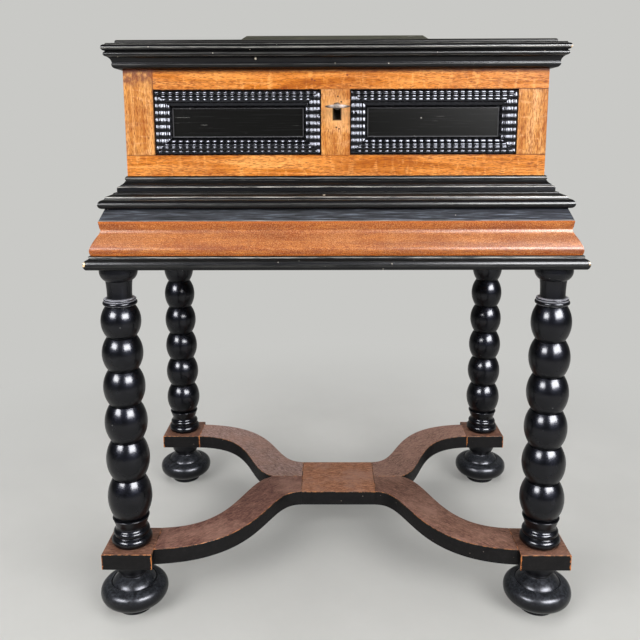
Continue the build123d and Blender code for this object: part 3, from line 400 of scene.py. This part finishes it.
def ebonised_flat(name, base=("#0c0b0a", "#151413", "#201f1d"), gloss=(0.30, 0.46), dust=0.3, shine=0.15,
                  relief=0.12, field=None):
    """Black-stained planed board, flat and satin, with thin scratches and small grey knocks.

    field is the axis, middle and half size, across and up, of a sunk field whose edge gets a thin pale line."""
    material, tree, place = new_material(name)
    # fibres, finer on pear, drawn about 2 mm wide so that they show
    strand = add(tree, "ShaderNodeMapping", {"Vector": place, "Scale": (0.03, 1.0, 1.0)}).outputs[0]
    fibre = add(tree, "ShaderNodeTexNoise", {"Vector": strand, "Scale": every(2.0), "Detail": 4.0,
                                             "Roughness": 0.6}).outputs[0]
    colour = add(tree, "ShaderNodeValToRGB", {0: fibre},
                 stops=[(0.36, base[0]), (0.55, base[1]), (0.74, base[2])]).outputs[0]
    facing = facing_up(tree)
    film = add(tree, "ShaderNodeTexNoise", {"Vector": place, "Scale": every(45.45), "Detail": 6.0,
                                            "Roughness": 0.65}).outputs[0]
    film_share = add(tree, "ShaderNodeMapRange", {0: film, 1: 0.35, 2: 0.65, 3: 0.5 * dust, 4: dust}).outputs[0]
    settled = add(tree, "ShaderNodeMapRange", {0: facing, 1: 0.6, 2: 0.98, 3: 0.0, 4: film_share}).outputs[0]
    colour = add(tree, "ShaderNodeMix", {0: settled, 6: colour, 7: "#77776a"}, data_type="RGBA").outputs[2]
    # stray scratches about 29 mm long, a little aslant to the grain
    slant = add(tree, "ShaderNodeMapping", {"Vector": place, "Scale": (0.05, 1.0, 1.0),
                                            "Rotation": (0.0, 0.12, 0.05)}).outputs[0]
    thin = add(tree, "ShaderNodeTexNoise", {"Vector": slant, "Scale": every(1.429), "Detail": 1.0}).outputs[0]
    scratch = add(tree, "ShaderNodeMapRange", {0: thin, 1: 0.74, 2: 0.78, 3: 0.0, 4: 0.35}).outputs[0]
    colour = add(tree, "ShaderNodeMix", {0: scratch, 6: colour, 7: "#8f8d8a"}, data_type="RGBA").outputs[2]
    colour = specks(tree, place, 9 * mm, 0.965, "#a09d98", colour, 0.8)
    if field:
        edge = outside_box(tree, add(tree, "ShaderNodeSeparateXYZ", {0: place}).outputs, field)
        near = add(tree, "ShaderNodeMapRange", {0: edge, 1: -1.6 * mm, 2: -0.7 * mm, 3: 0.0, 4: 0.5}).outputs[0]
        colour = add(tree, "ShaderNodeMix", {0: near, 6: colour, 7: "#77767a"}, data_type="RGBA").outputs[2]
    worn = add(tree, "ShaderNodeMapRange", {0: fibre, 1: 0.3, 2: 0.75, 3: gloss[0], 4: gloss[1]}).outputs[0]
    surface(tree, colour, worn, fibre, strength=relief, depth=0.2 * mm, specular=shine)
    return material


def foot_knock(tree, colour, place):
    """The front right foot is knocked bare to orange wood low on its outer side."""
    low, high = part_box("foot_front_right")
    knock = (high.x - 3 * mm, low.y + 15.2 * mm, 30 * mm)
    gap = add(tree, "ShaderNodeVectorMath", {0: place, 1: knock}, operation="DISTANCE").outputs[1]
    rough = add(tree, "ShaderNodeTexNoise", {"Vector": place, "Scale": every(3.333), "Detail": 4.0,
                                             "Roughness": 0.7}).outputs[0]
    ragged = add(tree, "ShaderNodeMath", {0: rough, 1: -22 * mm, 2: gap}, operation="MULTIPLY_ADD").outputs[0]
    bare = add(tree, "ShaderNodeMapRange", {0: ragged, 1: -5 * mm, 2: -7 * mm, 3: 0.0, 4: 0.9}).outputs[0]
    return add(tree, "ShaderNodeMix", {0: bare, 6: colour, 7: "#a5642f"}, data_type="RGBA").outputs[2]


def ring_painted_glints(tree, colour, place):
    """Painted glints: light lines painted on the sharp rings under each leg's cup, broken in places."""
    level = add(tree, "ShaderNodeMapRange", {0: add(tree, "ShaderNodeSeparateXYZ", {0: place}).outputs[2],
                                             1: stand_under - 55.7 * mm, 2: stand_under - 39.7 * mm}).outputs[0]
    ring = add(tree, "ShaderNodeValToRGB", {0: level},
               stops=[(0.10, "#000000"), (0.16, "#bcbcbc"), (0.22, "#000000"), (0.46, "#000000"),
                      (0.53, "#ffffff"), (0.60, "#000000"), (0.66, "#000000"), (0.72, "#ffffff"),
                      (0.78, "#000000")]).outputs[0]
    line_mark = add(tree, "ShaderNodeTexNoise", {"Vector": place, "Scale": every(6.25), "Detail": 4.0}).outputs[0]
    rubbed = add(tree, "ShaderNodeMapRange", {0: line_mark, 1: 0.3, 2: 0.5, 3: 0.4, 4: 1.0}).outputs[0]
    share = add(tree, "ShaderNodeMath", {0: ring, 1: rubbed}, operation="MULTIPLY").outputs[0]
    return add(tree, "ShaderNodeMix", {0: share, 6: colour, 7: "#b6b6be"}, data_type="RGBA").outputs[2]


sunk_field = {}
for side in ("left", "right"):
    low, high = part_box("ripple_frame_" + side)
    sunk_field[side] = [(axis, (low[axis] + high[axis]) / 2, (high[axis] - low[axis]) / 2 - strip_width)
                        for axis in (0, 2)]

turned_black = ebonised_turning("ebonised pear, turned and shellacked", 0.015, extra=ring_painted_glints)
dusty_black = ebonised_turning("ebonised pear, turned, dusty feet", 0.12, shellac=0.3)
knocked_black = ebonised_turning("ebonised pear, turned, dusty and knocked foot", 0.12, shellac=0.3,
                                 extra=foot_knock)
lid_black = ebonised_run("ebonised wood, lid moulding", "lid_moulding", ("lid_board", "lid_board"),
                         [(0.14, 0.35, 1.2), (0.475, 0.5, 0.8), (0.57, 0.35, 1.6), (0.80, 0.7, 1.6),
                          (0.945, 0.6, 0.8)],
                         chips=[(1, 0.5 * mm, 0.65 * mm, 6.5 * mm, 1.6 * mm)])
base_black = ebonised_run("ebonised wood, casket base moulding", "casket_base_moulding",
                          ("casket_bottom_rail", "casket_bottom_rail"),
                          [(0.04, 0.3, 0.8), (0.345, 0.9, 1.1), (0.72, 0.4, 0.6), (0.86, 0.6, 1.8)])
top_black = ebonised_run("ebonised wood, stand top moulding", "stand_top_moulding", ("stand_top", "stand_top"),
                         [(0.32, 0.35, 2.2), (0.60, 0.5, 0.8), (0.75, 0.9, 1.1), (0.93, 0.4, 0.8)])
# painted shadow: the splay's top, under the stand top's nose, is painted near black from the share 0.72 up
splay_grey = ebonised_run("ebonised wood, splayed strip, rubbed grey", "splay_moulding", stand_frame,
                          [(0.05, 0.75, 1.2)], base=("#141518", "#383b42", "#727985"), dust=0.2,
                          gloss=(0.4, 0.55), shade=0.72, polish=0.0)
bottom_black = ebonised_run("ebonised wood, bottom moulding", "bottom_moulding", stand_frame,
                            [(0.36, 0.25, 3.0), (0.62, 0.25, 0.8), (0.90, 0.95, 1.2)],
                            chips=[(1, 0.8 * mm, 0.74 * mm, 9.8 * mm, 3.0 * mm),
                                   (-1, 0.8 * mm, 0.74 * mm, 9.8 * mm, 3.4 * mm)])
board_black = ebonised_flat("ebonised wood, planed boards")
panel_black = {side: ebonised_flat("ebonised wood, sunk panel " + side, base=("#0c0c0b", "#0e0e0d", "#101010"),
                                   gloss=(0.26, 0.28), shine=0.1, relief=0.02, field=sunk_field[side])
               for side in sunk_field}
# painted reflection: the raised panel's olive colours stand in for the ceiling light that its bevel and top mirror
raised_panel_painted_sheen = ebonised_flat("ebonised wood, raised panel, painted olive sheen", base=("#2a2922", "#3c3b30", "#55533f"), dust=0.2)


def rippled_black():
    """Ebonised pear, ripple-cut by a scraper and polished: very dark with a bright, tight shine."""
    material, tree, place = new_material("ebonised pear, ripple cut and polished")
    cloud = add(tree, "ShaderNodeTexNoise", {"Vector": place, "Scale": every(3.333), "Detail": 4.0}).outputs[0]
    colour = add(tree, "ShaderNodeValToRGB", {0: cloud},
                 stops=[(0.35, "#030304"), (0.65, "#08080a"), (0.85, "#141418")]).outputs[0]
    worn = add(tree, "ShaderNodeMapRange", {0: cloud, 1: 0.3, 2: 0.8, 3: 0.17, 4: 0.26}).outputs[0]
    surface(tree, colour, worn, cloud, strength=0.1, depth=0.15 * mm, specular=0.45, tint="#eef1ff")
    return material


ripple_black = rippled_black()

# ---------------------------------------------------------------- stretcher


def stretcher_stain(name, turn, wear, shades=("#54342b", "#75503f", "#8f6856", "#ab8370"), middle=None):
    """Oak stained mahogany red on top, its sides blacked, its edges rubbed back to orange wood.

    turn is how far the grain turns from X, in radians; wear is how much of the stain has gone pale; middle is
    the place of a corner block, whose upright edges are knocked bare."""
    material, tree, place = new_material(name)
    # figure and pores, finer on oak, drawn about 2.6 mm and 1 mm wide so that they show
    turned = add(tree, "ShaderNodeMapping", {"Vector": place, "Rotation": (0.0, 0.0, turn)}).outputs[0]
    strand = add(tree, "ShaderNodeMapping", {"Vector": turned, "Scale": (0.28, 1.0, 1.0)}).outputs[0]
    figure = add(tree, "ShaderNodeTexNoise", {"Vector": strand, "Scale": every(2.632), "Detail": 6.0,
                                              "Roughness": 0.75}).outputs[0]
    top = add(tree, "ShaderNodeValToRGB", {0: figure},
              stops=[(0.34, shades[0]), (0.47, shades[1]), (0.58, shades[2]), (0.72, shades[3])]).outputs[0]
    pore = add(tree, "ShaderNodeTexNoise", {"Vector": strand, "Scale": every(1.0), "Detail": 2.0}).outputs[0]
    pores = add(tree, "ShaderNodeMapRange", {0: pore, 1: 0.56, 2: 0.66, 3: 0.0, 4: 0.7}).outputs[0]
    top = add(tree, "ShaderNodeMix", {0: pores, 6: top, 7: "#2c1511"}, data_type="RGBA").outputs[2]
    patch = add(tree, "ShaderNodeTexNoise", {"Vector": place, "Scale": every(41.67), "Detail": 5.0,
                                             "Roughness": 0.6}).outputs[0]
    pale = add(tree, "ShaderNodeMapRange", {0: patch, 1: 0.46, 2: 0.70, 3: 0.0, 4: wear}).outputs[0]
    top = add(tree, "ShaderNodeMix", {0: pale, 6: top, 7: "#b58c7b"}, data_type="RGBA").outputs[2]
    side_cloud = add(tree, "ShaderNodeTexNoise", {"Vector": place, "Scale": every(6.25), "Detail": 4.0,
                                                  "Roughness": 0.65}).outputs[0]
    side = add(tree, "ShaderNodeValToRGB", {0: side_cloud},
               stops=[(0.35, "#070607"), (0.60, "#0f0d0e"), (0.80, "#1d1b1c")]).outputs[0]
    side = specks(tree, place, 6 * mm, 0.93, "#a8998a", side)
    facing = facing_up(tree)
    upper = add(tree, "ShaderNodeMapRange", {0: facing, 1: 0.80, 2: 0.95, 3: 0.0, 4: 1.0}).outputs[0]
    colour = add(tree, "ShaderNodeMix", {0: upper, 6: side, 7: top}, data_type="RGBA").outputs[2]
    rim = add(tree, "ShaderNodeValToRGB", {0: facing},
              stops=[(0.10, "#000000"), (0.25, "#ffffff"), (0.93, "#ffffff"), (0.985, "#000000")]).outputs[0]
    rubbed = add(tree, "ShaderNodeMapRange", {0: side_cloud, 1: 0.44, 2: 0.62, 3: 0.05, 4: 0.95}).outputs[0]
    bare = add(tree, "ShaderNodeMath", {0: rim, 1: rubbed}, operation="MULTIPLY").outputs[0]
    colour = add(tree, "ShaderNodeMix", {0: bare, 6: colour, 7: "#cc8550"}, data_type="RGBA").outputs[2]
    if middle:
        knock = add(tree, "ShaderNodeTexNoise", {"Vector": place, "Scale": every(4.762), "Detail": 5.0,
                                                 "Roughness": 0.7}).outputs[0]
        axes = add(tree, "ShaderNodeSeparateXYZ", {0: place}).outputs
        outs = []
        for axis in (0, 1):
            away = add(tree, "ShaderNodeMath", {0: axes[axis], 1: middle[axis]}, operation="SUBTRACT").outputs[0]
            outs.append(add(tree, "ShaderNodeMath", {0: away}, operation="ABSOLUTE").outputs[0])
        edge = add(tree, "ShaderNodeMath", {0: outs[0], 1: outs[1]}, operation="MINIMUM").outputs[0]
        ragged = add(tree, "ShaderNodeMath", {0: knock, 1: 11 * mm, 2: edge}, operation="MULTIPLY_ADD").outputs[0]
        bare = add(tree, "ShaderNodeMapRange", {0: ragged, 1: 40.0 * mm, 2: 41.0 * mm, 3: 0.0, 4: 0.9}).outputs[0]
        colour = add(tree, "ShaderNodeMix", {0: bare, 6: colour, 7: "#c4793f"}, data_type="RGBA").outputs[2]
    worn = add(tree, "ShaderNodeMapRange", {0: figure, 1: 0.3, 2: 0.75, 3: 0.36, 4: 0.55}).outputs[0]
    surface(tree, colour, worn, figure, strength=0.35, depth=0.3 * mm, specular=0.16)
    return material


# ---------------------------------------------------------------- iron


def forged_iron(name, stops, roughness, rust):
    """Hand-forged iron, filed and oiled: dull grey-brown with patches of rust about 4 mm across."""
    material, tree, place = new_material(name)
    cloud = add(tree, "ShaderNodeTexNoise", {"Vector": place, "Scale": every(4.167), "Detail": 6.0,
                                             "Roughness": 0.65}).outputs[0]
    colour = add(tree, "ShaderNodeValToRGB", {0: cloud}, stops=stops).outputs[0]
    rusty = add(tree, "ShaderNodeMapRange", {0: cloud, 1: 0.56, 2: 0.70, 3: 0.0, 4: rust}).outputs[0]
    colour = add(tree, "ShaderNodeMix", {0: rusty, 6: colour, 7: "#4d2a18"}, data_type="RGBA").outputs[2]
    worn = add(tree, "ShaderNodeMapRange", {0: cloud, 1: 0.3, 2: 0.75, 3: roughness, 4: roughness + 0.2})
    surface(tree, colour, worn.outputs[0], cloud, strength=0.4, depth=0.2 * mm, metallic=0.9)
    return material


iron = forged_iron("wrought iron, forged and aged", [(0.3, "#2a2522"), (0.7, "#57504a")], 0.42, 0.7)
key_steel = forged_iron("steel key, filed and handled", [(0.3, "#332e2b"), (0.7, "#756c66")], 0.42, 0.6)

# ---------------------------------------------------------------- finishes onto the carried nodes


body_of = {name: body for body, names in frame["record"]["behaviour"]["bodies"].items() for name in names}


def finish_node(name, material):
    """Give one carried node its finish."""
    for slot in nodes[name].material_slots:
        slot.material = material


def show(bm, name, material, body):
    """Turn a finished mesh into one visible piece with its finish, riding on its body."""
    mesh = bpy.data.meshes.new(name)
    bm.to_mesh(mesh)
    bm.free()
    carried = mesh.attributes.get("custom_normal")
    if carried:
        mesh.attributes.remove(carried)
    mesh.materials.clear()
    mesh.materials.append(material)
    piece = bpy.data.objects.new(name, mesh)
    bpy.context.scene.collection.objects.link(piece)
    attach(piece, body)
    return piece


def merged_copy(name):
    """A copy of one carried piece with its points merged and its flat faces whole again."""
    bm = bmesh.new()
    bm.from_mesh(nodes[name].data)
    bmesh.ops.remove_doubles(bm, verts=bm.verts, dist=0.005 * mm)
    bmesh.ops.dissolve_limit(bm, angle_limit=math.radians(0.3), verts=bm.verts, edges=bm.edges)
    return bm


def shade_round(bm):
    """Smooth faces, with an edge left sharp where it turns by 46 degrees or more."""
    for face in bm.faces:
        face.smooth = True
        face.material_index = 0
    for edge in bm.edges:
        edge.smooth = edge.calc_face_angle(math.pi) < math.radians(46)


def ease(name, material, width, shortest=30 * mm):
    """A copy of one carried piece whose arrises are eased, as the plane and two centuries of dusting leave them.

    width is how much comes off each arris; edges under the shortest length stay as they are."""
    bm = merged_copy(name)
    arrises = [edge for edge in bm.edges
               if edge.calc_face_angle(0) > math.radians(24) and edge.calc_length() > shortest]
    bmesh.ops.bevel(bm, geom=arrises, affect="EDGES", offset=width, segments=2, profile=0.5, material=-1,
                    clamp_overlap=True)
    shade_round(bm)
    piece = show(bm, "eased_" + name, material, body_of[name])
    weighted = piece.modifiers.new("flat faces stay flat", "WEIGHTED_NORMAL")
    weighted.keep_sharp = True
    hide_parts(name)


def shape_key():
    """The key with its bow thinned towards the ends and its arrises filed round."""
    bm = merged_copy("key")
    bow_depth, bow_half, filed_off, thinned = 24 * mm, 16 * mm, 1.6 * mm, 0.62
    bow_end = key_low.y + bow_depth
    rims = [edge for edge in bm.edges if edge.calc_face_angle(0) > math.radians(60)
            and max(vert.co.y for vert in edge.verts) < bow_end + 0.01 * mm]
    bmesh.ops.bevel(bm, geom=rims, affect="EDGES", offset=filed_off, segments=4, profile=0.5, material=-1,
                    clamp_overlap=True)
    for vert in bm.verts:
        if vert.co.y < bow_end:
            out = min(1.0, abs(vert.co.x - key_x) / bow_half)
            vert.co.z = key_z + (vert.co.z - key_z) * (1 - thinned * out ** 2)
    shade_round(bm)
    piece = show(bm, "filed_key", key_steel, body_of["key"])
    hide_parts("key")


for name, material in (("casket_bottom_rail", oak_rail_low), ("casket_top_rail", oak_rail_top),
                       ("casket_stile_left", oak_stile_left), ("casket_stile_right", oak_stile_right),
                       ("casket_muntin", oak_muntin)):
    ease(name, material, 0.3 * mm)
for name in ("casket_side_left", "casket_side_right"):
    finish_node(name, oak_sides)
finish_node("casket_back", oak_back)
finish_node("casket_bottom", oak_bare_x)
ease("frieze_front", oak_frieze_front, 0.4 * mm)
for name in ("frieze_left", "frieze_right"):
    ease(name, oak_frieze_side, 0.4 * mm)
for name in ("frieze_back", "frame_rail_front", "frame_rail_back"):
    finish_node(name, oak_bare_x)
for name in ("frame_rail_left", "frame_rail_right", "frame_glue_blocks"):
    finish_node(name, oak_bare_y)
for side in panel_black:
    finish_node("panel_" + side, panel_black[side])
for name in ("lid_board", "lid_tier", "stand_top"):
    ease(name, board_black, 0.6 * mm)
ease("lid_raised_panel", raised_panel_painted_sheen, 0.6 * mm)
ease("lid_moulding", lid_black, 0.4 * mm)
ease("casket_base_moulding", base_black, 0.5 * mm)
ease("stand_top_moulding", top_black, 0.4 * mm)
ease("splay_moulding", splay_grey, 0.4 * mm)
ease("bottom_moulding", bottom_black, 0.4 * mm)
# painted reflection: the back arms' shades are painted lighter and greyer, the left's most, for the pale wall that
# they mirror at a grazing angle
arm_shades_with_painted_reflection = {"front_left": ("#553530", "#765146", "#92695c", "#b08577"),
              "front_right": ("#593930", "#7b5748", "#977060", "#b48b7a"),
              "back_left": ("#775a52", "#9e8076", "#ba9b92", "#d4b6ac"),
              "back_right": ("#6c4d42", "#8e6b5d", "#a88475", "#c39f90")}
# the grain of an arm follows its run, about 43 degrees off X
arm_turns = {"front_left": -0.75, "front_right": 0.75, "back_left": 0.75, "back_right": -0.75}
board_stain = stretcher_stain("mahogany-stained oak, centre board", 0.0, 0.9,
                              shades=("#7b4e33", "#a97256", "#c48a69", "#dba484"))
for place in places:
    finish_node("foot_" + place, knocked_black if place == "front_right" else dusty_black)
    finish_node("leg_" + place, turned_black)
    low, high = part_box("stretcher_block_" + place)
    ease("stretcher_block_" + place,
         stretcher_stain("mahogany-stained oak, block " + place.replace("_", " "), 0.0, 0.3,
                         middle=(low + high) / 2),
         0.8 * mm)
    ease("stretcher_arm_" + place,
         stretcher_stain("mahogany-stained oak, arm " + place.replace("_", " "), arm_turns[place], 0.6,
                         shades=arm_shades_with_painted_reflection[place]),
         1.0 * mm, shortest=0.5 * mm)
ease("stretcher_board", board_stain, 0.8 * mm)
for name in ("hinge_leaves_casket", "hinge_leaves_lid", "hinge_pins", "hinge_screws_casket",
             "hinge_screws_lid", "lock_plate", "lock_case", "lock_bolt", "lock_screws", "lid_staple",
             "casket_fixing_screws"):
    finish_node(name, iron)
shape_key()

# ---------------------------------------------------------------- rippled panel frames

ripple_pitch = 9.4 * mm
ripple_rise = 0.60 * mm
ripple_steps = 12
phase_step = 1.1 * mm
# the strip's section, in millimetres; each strand from the oak inward has two edges, given by how far in and
# how high they lie
outer_edge = ((0.0, 0.0), (0.0, 7.6))
strands = (((0.6, 9.0), (5.2, 10.7)), ((6.4, 11.1), (11.2, 12.0)), ((12.4, 11.3), (16.8, 9.9)),
           ((18.0, 8.6), (22.4, 6.2)))
inner_edge = ((23.4, 4.2), (strip_width / mm, 2.0), (strip_width / mm, 0.0))
strand_rise = 0.8
strand_steps = 6
groove_width = 1.2
groove_depth = 0.9
# below this height above the panel's frame the ripples die away, millimetres
full_ripple_height = 4.0


def strip_outline():
    """The strip's section: strands with grooves between them, and a drop to the field."""
    points = list(outer_edge)
    for low, high in strands:
        for step in range(strand_steps + 1):
            share = step / strand_steps
            points.append((low[0] + share * (high[0] - low[0]),
                           low[1] + share * (high[1] - low[1]) - strand_rise * (2 * share - 1) ** 2))
        points.append((high[0] + groove_width / 2, high[1] - strand_rise - groove_depth))
    return points + list(inner_edge)


def ripple_strip(length, phase):
    """One strip along X, its outer edge on Z = 0 and its foot on Y = 0, mitred at both ends.

    phase moves its ripples along it, so that no two strips start alike."""
    outline = strip_outline()
    rows = len(outline)
    waves = math.ceil(length / ripple_pitch) + 2
    bm = bmesh.new()
    bmesh.ops.create_grid(bm, x_segments=ripple_steps * waves, y_segments=rows - 1, size=0.5)
    valleys = set()
    for vert in bm.verts:
        column = round((vert.co.x + 0.5) * ripple_steps * waves)
        row = round((vert.co.y + 0.5) * (rows - 1))
        if column % ripple_steps == 0:
            valleys.add(vert)
        inward, height = outline[row]
        before, after = outline[max(row - 1, 0)], outline[min(row + 1, rows - 1)]
        slope = Vector((after[0] - before[0], after[1] - before[1])).normalized()
        hump = 2 * (column % ripple_steps) / ripple_steps - 1
        lift = -ripple_rise * hump ** 2 * min(1.0, height / full_ripple_height)
        x = (column / ripple_steps - waves / 2) * ripple_pitch + phase
        vert.co = (x, -height * mm - slope.x * lift, inward * mm - slope.y * lift)
    for edge in bm.edges:
        edge.smooth = not (edge.verts[0] in valleys and edge.verts[1] in valleys)
    for side in (-1, 1):
        bmesh.ops.bisect_plane(bm, geom=bm.verts[:] + bm.edges[:] + bm.faces[:],
                               plane_co=(side * length / 2, 0, 0), plane_no=(side, 0, 1), clear_outer=True)
    for face in bm.faces:
        face.smooth = True
    bmesh.ops.holes_fill(bm, edges=[edge for edge in bm.edges if edge.is_boundary], sides=0)
    bmesh.ops.recalc_face_normals(bm, faces=bm.faces)
    return bm


def build_ripple_frame(side):
    """Four rippled strips mitred round one panel."""
    low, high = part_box("ripple_frame_" + side)
    center_x, center_z = (low.x + high.x) / 2, (low.z + high.z) / 2
    wide, tall = high.x - low.x, high.z - low.z
    whole = bmesh.new()
    for turn, length, reach in ((0, wide, tall / 2), (90, tall, wide / 2), (180, wide, tall / 2),
                                (270, tall, wide / 2)):
        strip = ripple_strip(length, phase_step * turn / 90)
        put = (Matrix.Translation((center_x, high.y, center_z)) @ Matrix.Rotation(math.radians(-turn), 4, "Y")
               @ Matrix.Translation((0, 0, -reach)))
        bmesh.ops.transform(strip, matrix=put, verts=strip.verts)
        piece = bpy.data.meshes.new("strip")
        strip.to_mesh(piece)
        strip.free()
        whole.from_mesh(piece)
        bpy.data.meshes.remove(piece)
    piece = show(whole, "ripple_strips_" + side, ripple_black, "casket_on_stand")
    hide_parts("ripple_frame_" + side)


for side in ("left", "right"):
    build_ripple_frame(side)

# ---------------------------------------------------------------- floor, light and camera

backdrop = "#c9c9c6"


def floor_material():
    """Smooth cast concrete, pale grey, with clouds about 250 mm wide; far off it melts into the pale backdrop."""
    material, tree, place = new_material("pale concrete floor")
    cloud = add(tree, "ShaderNodeTexNoise", {"Vector": place, "Scale": every(250.0), "Detail": 7.0,
                                             "Roughness": 0.6}).outputs[0]
    colour = add(tree, "ShaderNodeValToRGB", {0: cloud}, stops=[(0.3, "#cdccc8"), (0.7, "#d6d5d1")]).outputs[0]
    concrete = add(tree, "ShaderNodeBsdfPrincipled", {"Base Color": colour, "Roughness": 0.7,
                                                      "Specular IOR Level": 0.05}).outputs[0]
    # to the camera the floor turns into the backdrop's glow, a fifth of it even beside the piece and all of it far
    # off; beside the piece this glow is painted light that lifts the shadow
    away = add(tree, "ShaderNodeVectorMath", {0: place}, operation="LENGTH").outputs[1]
    far = add(tree, "ShaderNodeMapRange", {0: away, 1: 0.3, 2: 1.15, 3: 0.2, 4: 1.0},
              interpolation_type="SMOOTHSTEP").outputs[0]
    seen = add(tree, "ShaderNodeLightPath").outputs["Is Camera Ray"]
    share = add(tree, "ShaderNodeMath", {0: far, 1: seen}, operation="MULTIPLY").outputs[0]
    backdrop_glow = add(tree, "ShaderNodeEmission", {0: linear(backdrop), 1: 1.0}).outputs[0]
    both = add(tree, "ShaderNodeMixShader", {0: share, 1: concrete, 2: backdrop_glow}).outputs[0]
    add(tree, "ShaderNodeOutputMaterial", {0: both})
    return material


def build_floor():
    """A plain pale floor, wide enough to reach the horizon."""
    bm = bmesh.new()
    bmesh.ops.create_circle(bm, cap_ends=True, segments=96, radius=30.0)
    mesh = bpy.data.meshes.new("floor")
    bm.to_mesh(mesh)
    bm.free()
    floor = bpy.data.objects.new("floor", mesh)
    bpy.context.scene.collection.objects.link(floor)
    mesh.materials.append(floor_material())


def light(name, place, target, power, width, height, lights=True, mirrored=True):
    """One soft window-like lamp turned towards a point; power in watts, sizes in metres.

    One that isn't mirrored leaves no highlight; one that doesn't light leaves nothing but its highlight."""
    lamp = bpy.data.lights.new(name, "AREA")
    lamp.shape = "RECTANGLE"
    lamp.size, lamp.size_y, lamp.energy = width, height, power
    holder = bpy.data.objects.new(name, lamp)
    aim = (Vector(target) - Vector(place)).to_track_quat("-Z", "Y")
    holder.matrix_world = Matrix.Translation(place) @ aim.to_matrix().to_4x4()
    holder.visible_diffuse, holder.visible_glossy = lights, mirrored
    bpy.context.scene.collection.objects.link(holder)


def light_scene():
    """Soft lamps in front, left and right, and overhead; two windows that only show as highlights; a dark room.

    The windows stand a little in front of the lamps, so that the polished black mirrors them."""
    middle = (0, 0, 0.45)
    light("lamp_left", (-1.27, -1.70, 1.35), middle, 34.0, 1.35, 0.72, mirrored=False)
    light("lamp_right", (1.27, -1.70, 1.35), middle, 36.0, 1.5, 0.72, mirrored=False)
    light("window_left", (-1.37, -1.63, 1.33), middle, 100.0, 1.05, 0.66, lights=False)
    light("window_right", (1.21, -1.68, 1.35), middle, 200.0, 1.5, 0.85, lights=False)
    light("lamp_above", (0.0, 0.2, 2.7), (0, 0.2, 0), 39.0, 3.2, 2.6, mirrored=False)
    # the room is dark at eye height and lighter towards the ceiling, with a pale wall behind the piece
    world = bpy.data.worlds.new("pale surround")
    bpy.context.scene.world = world
    world.use_nodes = True
    tree = world.node_tree
    tree.nodes.clear()
    towards = add(tree, "ShaderNodeSeparateXYZ",
                  {0: add(tree, "ShaderNodeTexCoord").outputs["Generated"]}).outputs
    ceiling = add(tree, "ShaderNodeMapRange", {0: towards[2], 1: 0.05, 2: 0.85, 3: 0.01, 4: 0.18}).outputs[0]
    room = add(tree, "ShaderNodeBackground", {0: linear("#dfe2e8"), 1: ceiling}).outputs[0]
    wall = add(tree, "ShaderNodeBackground", {0: linear(backdrop), 1: 1.0}).outputs[0]
    behind = add(tree, "ShaderNodeMapRange", {0: towards[1], 1: 0.15, 2: 0.55, 3: 0.0, 4: 0.32}).outputs[0]
    around = add(tree, "ShaderNodeMixShader", {0: behind, 1: room, 2: wall}).outputs[0]
    seen = add(tree, "ShaderNodeLightPath").outputs["Is Camera Ray"]
    both = add(tree, "ShaderNodeMixShader", {0: seen, 1: around, 2: wall}).outputs[0]
    add(tree, "ShaderNodeOutputWorld", {0: both})


def place_camera():
    """Straight in front at about 0.7 m, looking 10 degrees down, with the lens shifted down a little more."""
    lens = bpy.data.cameras.new("camera")
    lens.sensor_width, lens.lens = 36.0, 40.83
    lens.shift_y = -0.099
    lens.clip_start, lens.clip_end = 0.05, 60.0
    camera = bpy.data.objects.new("camera", lens)
    # degrees: how far it is turned to the left, raised from straight down, and rolled
    turn, raised, roll = 0.464, 79.87, -0.18
    camera.matrix_world = (Matrix.Translation((-0.0136, -1.1834, 0.7061))
                           @ Matrix.Rotation(math.radians(turn), 4, "Z")
                           @ Matrix.Rotation(math.radians(raised), 4, "X")
                           @ Matrix.Rotation(math.radians(roll), 4, "Z"))
    bpy.context.scene.collection.objects.link(camera)
    bpy.context.scene.camera = camera


build_floor()
light_scene()
place_camera()
bpy.context.scene.view_settings.view_transform = "Standard"
